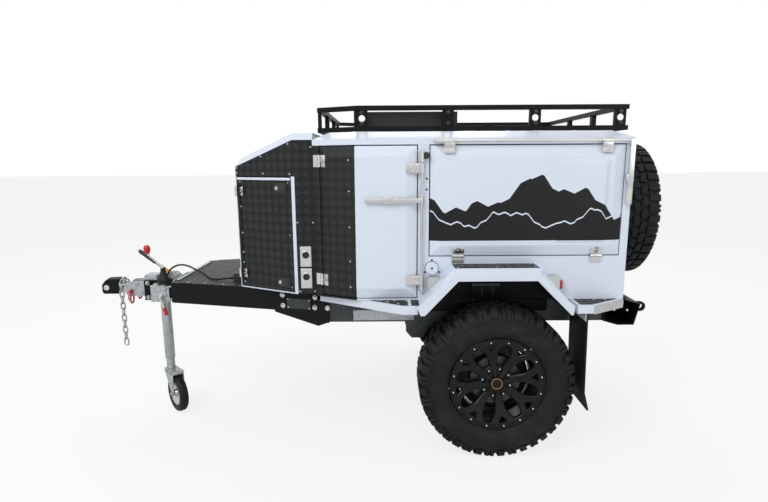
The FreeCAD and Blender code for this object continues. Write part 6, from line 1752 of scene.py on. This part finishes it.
@dataclass
class Gear(Assembly):
    """Mudguard plates, lenses, tower facings, springs, and the bolts of the rack and the rear."""

    def guards(self) -> None:
        """Tread plate over each mudguard, and its rivets."""
        near, far, low, high = -864, -758, 983.4, 983.4 + 1.6
        shape = Shape()
        shape.faces_of([[mm(x, near, low), mm(x, far, low), mm(x, far, high), mm(x, near, high)]
                        for x in (-224, 174)], False, True)
        shape.both("guard_plate", PLATE_FLAT, smooth=20.0)
        spots = [(mm(x, y, 985.2), AXIS_Z) for x in (-208, -26, 158) for y in (-853, -768)]
        self.heads.twice("guard_rivets", spots, GUARD_RIVET)

    def lamps(self) -> None:
        """Lenses of the marker lamps, clear ahead and red behind."""
        for name, finish, x in (("front", CLEAR_LENS, (-348, -338)), ("rear", RED_LENS, (287, 310))):
            Shape().slab(x, (-797, -763), (864, 908), 3).both(f"lens_{name}", finish)

    def towers(self) -> None:
        """Dark facing of the suspension towers, the liners' skirts, the ribs, and the backing plates, which are
        made wide and dark as painted shade behind the wheels' windows.
        """
        shape = Shape().slab((-103, 43), (-608.5, -604.5), (770, 852), 1)
        shape.slab((-330, 300), (-589.5, -585.5), (698, 764), 1)
        ribs = Shape().slab((-103, 43), (-611, -608), (838, 852), 1)
        for x in (-48, 8):
            ribs.slab((x - 3, x + 3), (-611, -608), (784, 834), 1)
        # Backing plate of each brake, wide enough to fill the wheel's windows: a real part, made large and dark
        # as painted shade of the underside
        rim = 0.1825
        ribs.lathe(((0.0, 0.0), (rim - 0.008, 0.0), (rim, 0.004), (rim, 0.009), (rim - 0.008, 0.013),
                    (0.0, 0.013)), mm(0, -696.5, 388), -AXIS_Y, 56)
        shape.both("tower_face", BLACK)
        ribs.both("tower_ribs_and_shade_plates", DARK_ZINC)

    def springs(self) -> None:
        """Coil springs between their seats, with a closed turn at each end."""
        radius, low, high, turns, steps, flat_steps = 0.0455, 0.4955, 0.627, 4.5, 108, 12
        points = []
        for k in range(steps + 1):
            turn = TAU * turns * k / steps
            share = min(max((k - flat_steps) / (steps - 2 * flat_steps), 0.0), 1.0)
            points.append(mm(-70, -507, 0) + Vector((
                radius * math.cos(turn), radius * math.sin(turn), low + (high - low) * share)))
        Shape().tube(points, 0.0064, 10).both("spring", BLACK, smooth=60.0)

    def rack(self) -> None:
        """Bolts on the rack's posts."""
        rail_front, rail_length = -686, 1322
        posts = [rail_front + rail_length * share for share in (0.018, 0.336, 0.657, 0.971)]
        side = [(mm(x, -642.4, z), -AXIS_Y) for x in posts for z in (1660, 1712)]
        self.heads.twice("rack_bolts", side, RACK_BOLT)

    def rear(self) -> None:
        """Bolts on the bumper and rivets of the strips behind the wheels."""
        bolts = [(mm(722.75, -y, 755.85), AXIS_Z) for y in (120, 330, 560)]
        self.heads.twice("bumper_bolts", bolts, BUMPER_BOLT)
        strip = Wall.between(440, 881, 628, 881)
        self.heads.twice("strip_rivets", strip.heads(((30, 782), (92, 782), (154, 780)), 0.3), SILL_RIVET)

    def build(self) -> None:
        """Make all the gear."""
        self.guards()
        self.lamps()
        self.towers()
        self.springs()
        self.rack()
        self.rear()


# Finishes of the carried-over nodes

FINISHED_NODES: tuple[tuple[Finish, str], ...] = (
    (WHITE, "body_fittings mudguards nose_lid roof_panel side_sills"),
    (TWO_TONE, "body_shell side_door"),
    (HILLS, "hatch"),
    (PLATE_SIDE, "nose_box nose_door"),
    (PLATE_FLAT, "drawbar_deck step_treads"),
    (BLACK, "arch_liners coil_springs coupling_head dampers drawbar_frame rear_bumper roof_rack spare_carrier"
            " trailing_arms"),
    (RIM_COAT, "spare_rim wheel_rim"),
    (TYRE, "jockey_tyre spare_tyre wheel_tyre"),
    (FLAP, "mud_flaps"),
    (ZINC, "handbrake_lever jockey_clamp jockey_fork jockey_rim jockey_tube overrun_coupling safety_chain"),
    (DARK_ZINC, "brake_drum chassis_frame"),
    (STEEL, "hatch_lock marker_lamps side_door_lock sill_strips"),
    (POLISHED, "hinges"),
    (PLASTIC, "junction_box rack_box"),
    (RED, "tow_shackles"),
    (RED_LENS, "tail_lamps"))


def dress_nodes() -> None:
    """Give each carried-over node its finish."""
    finishes = {name: finish for finish, names in FINISHED_NODES for name in names.split()}
    for name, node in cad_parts.items():
        finish = finishes.get(name.removesuffix("_left").removesuffix("_right"))
        if finish is not None:
            for slot in node.material_slots:
                slot.material = finish.material()


def main() -> None:
    """Build the trailer's looks in order."""
    logging.basicConfig(level=logging.INFO, format="%(name)s: %(message)s")
    studio = Studio()
    studio.camera()
    Lead().build()
    studio.light()
    studio.floor()
    dress_nodes()
    RoadWheel().build()
    heads = Heads()
    for assembly in (Coupling(heads), Jockey(heads), Closures(heads), Fittings(heads), Gear(heads)):
        assembly.build()


if __name__ == "__main__":
    main()
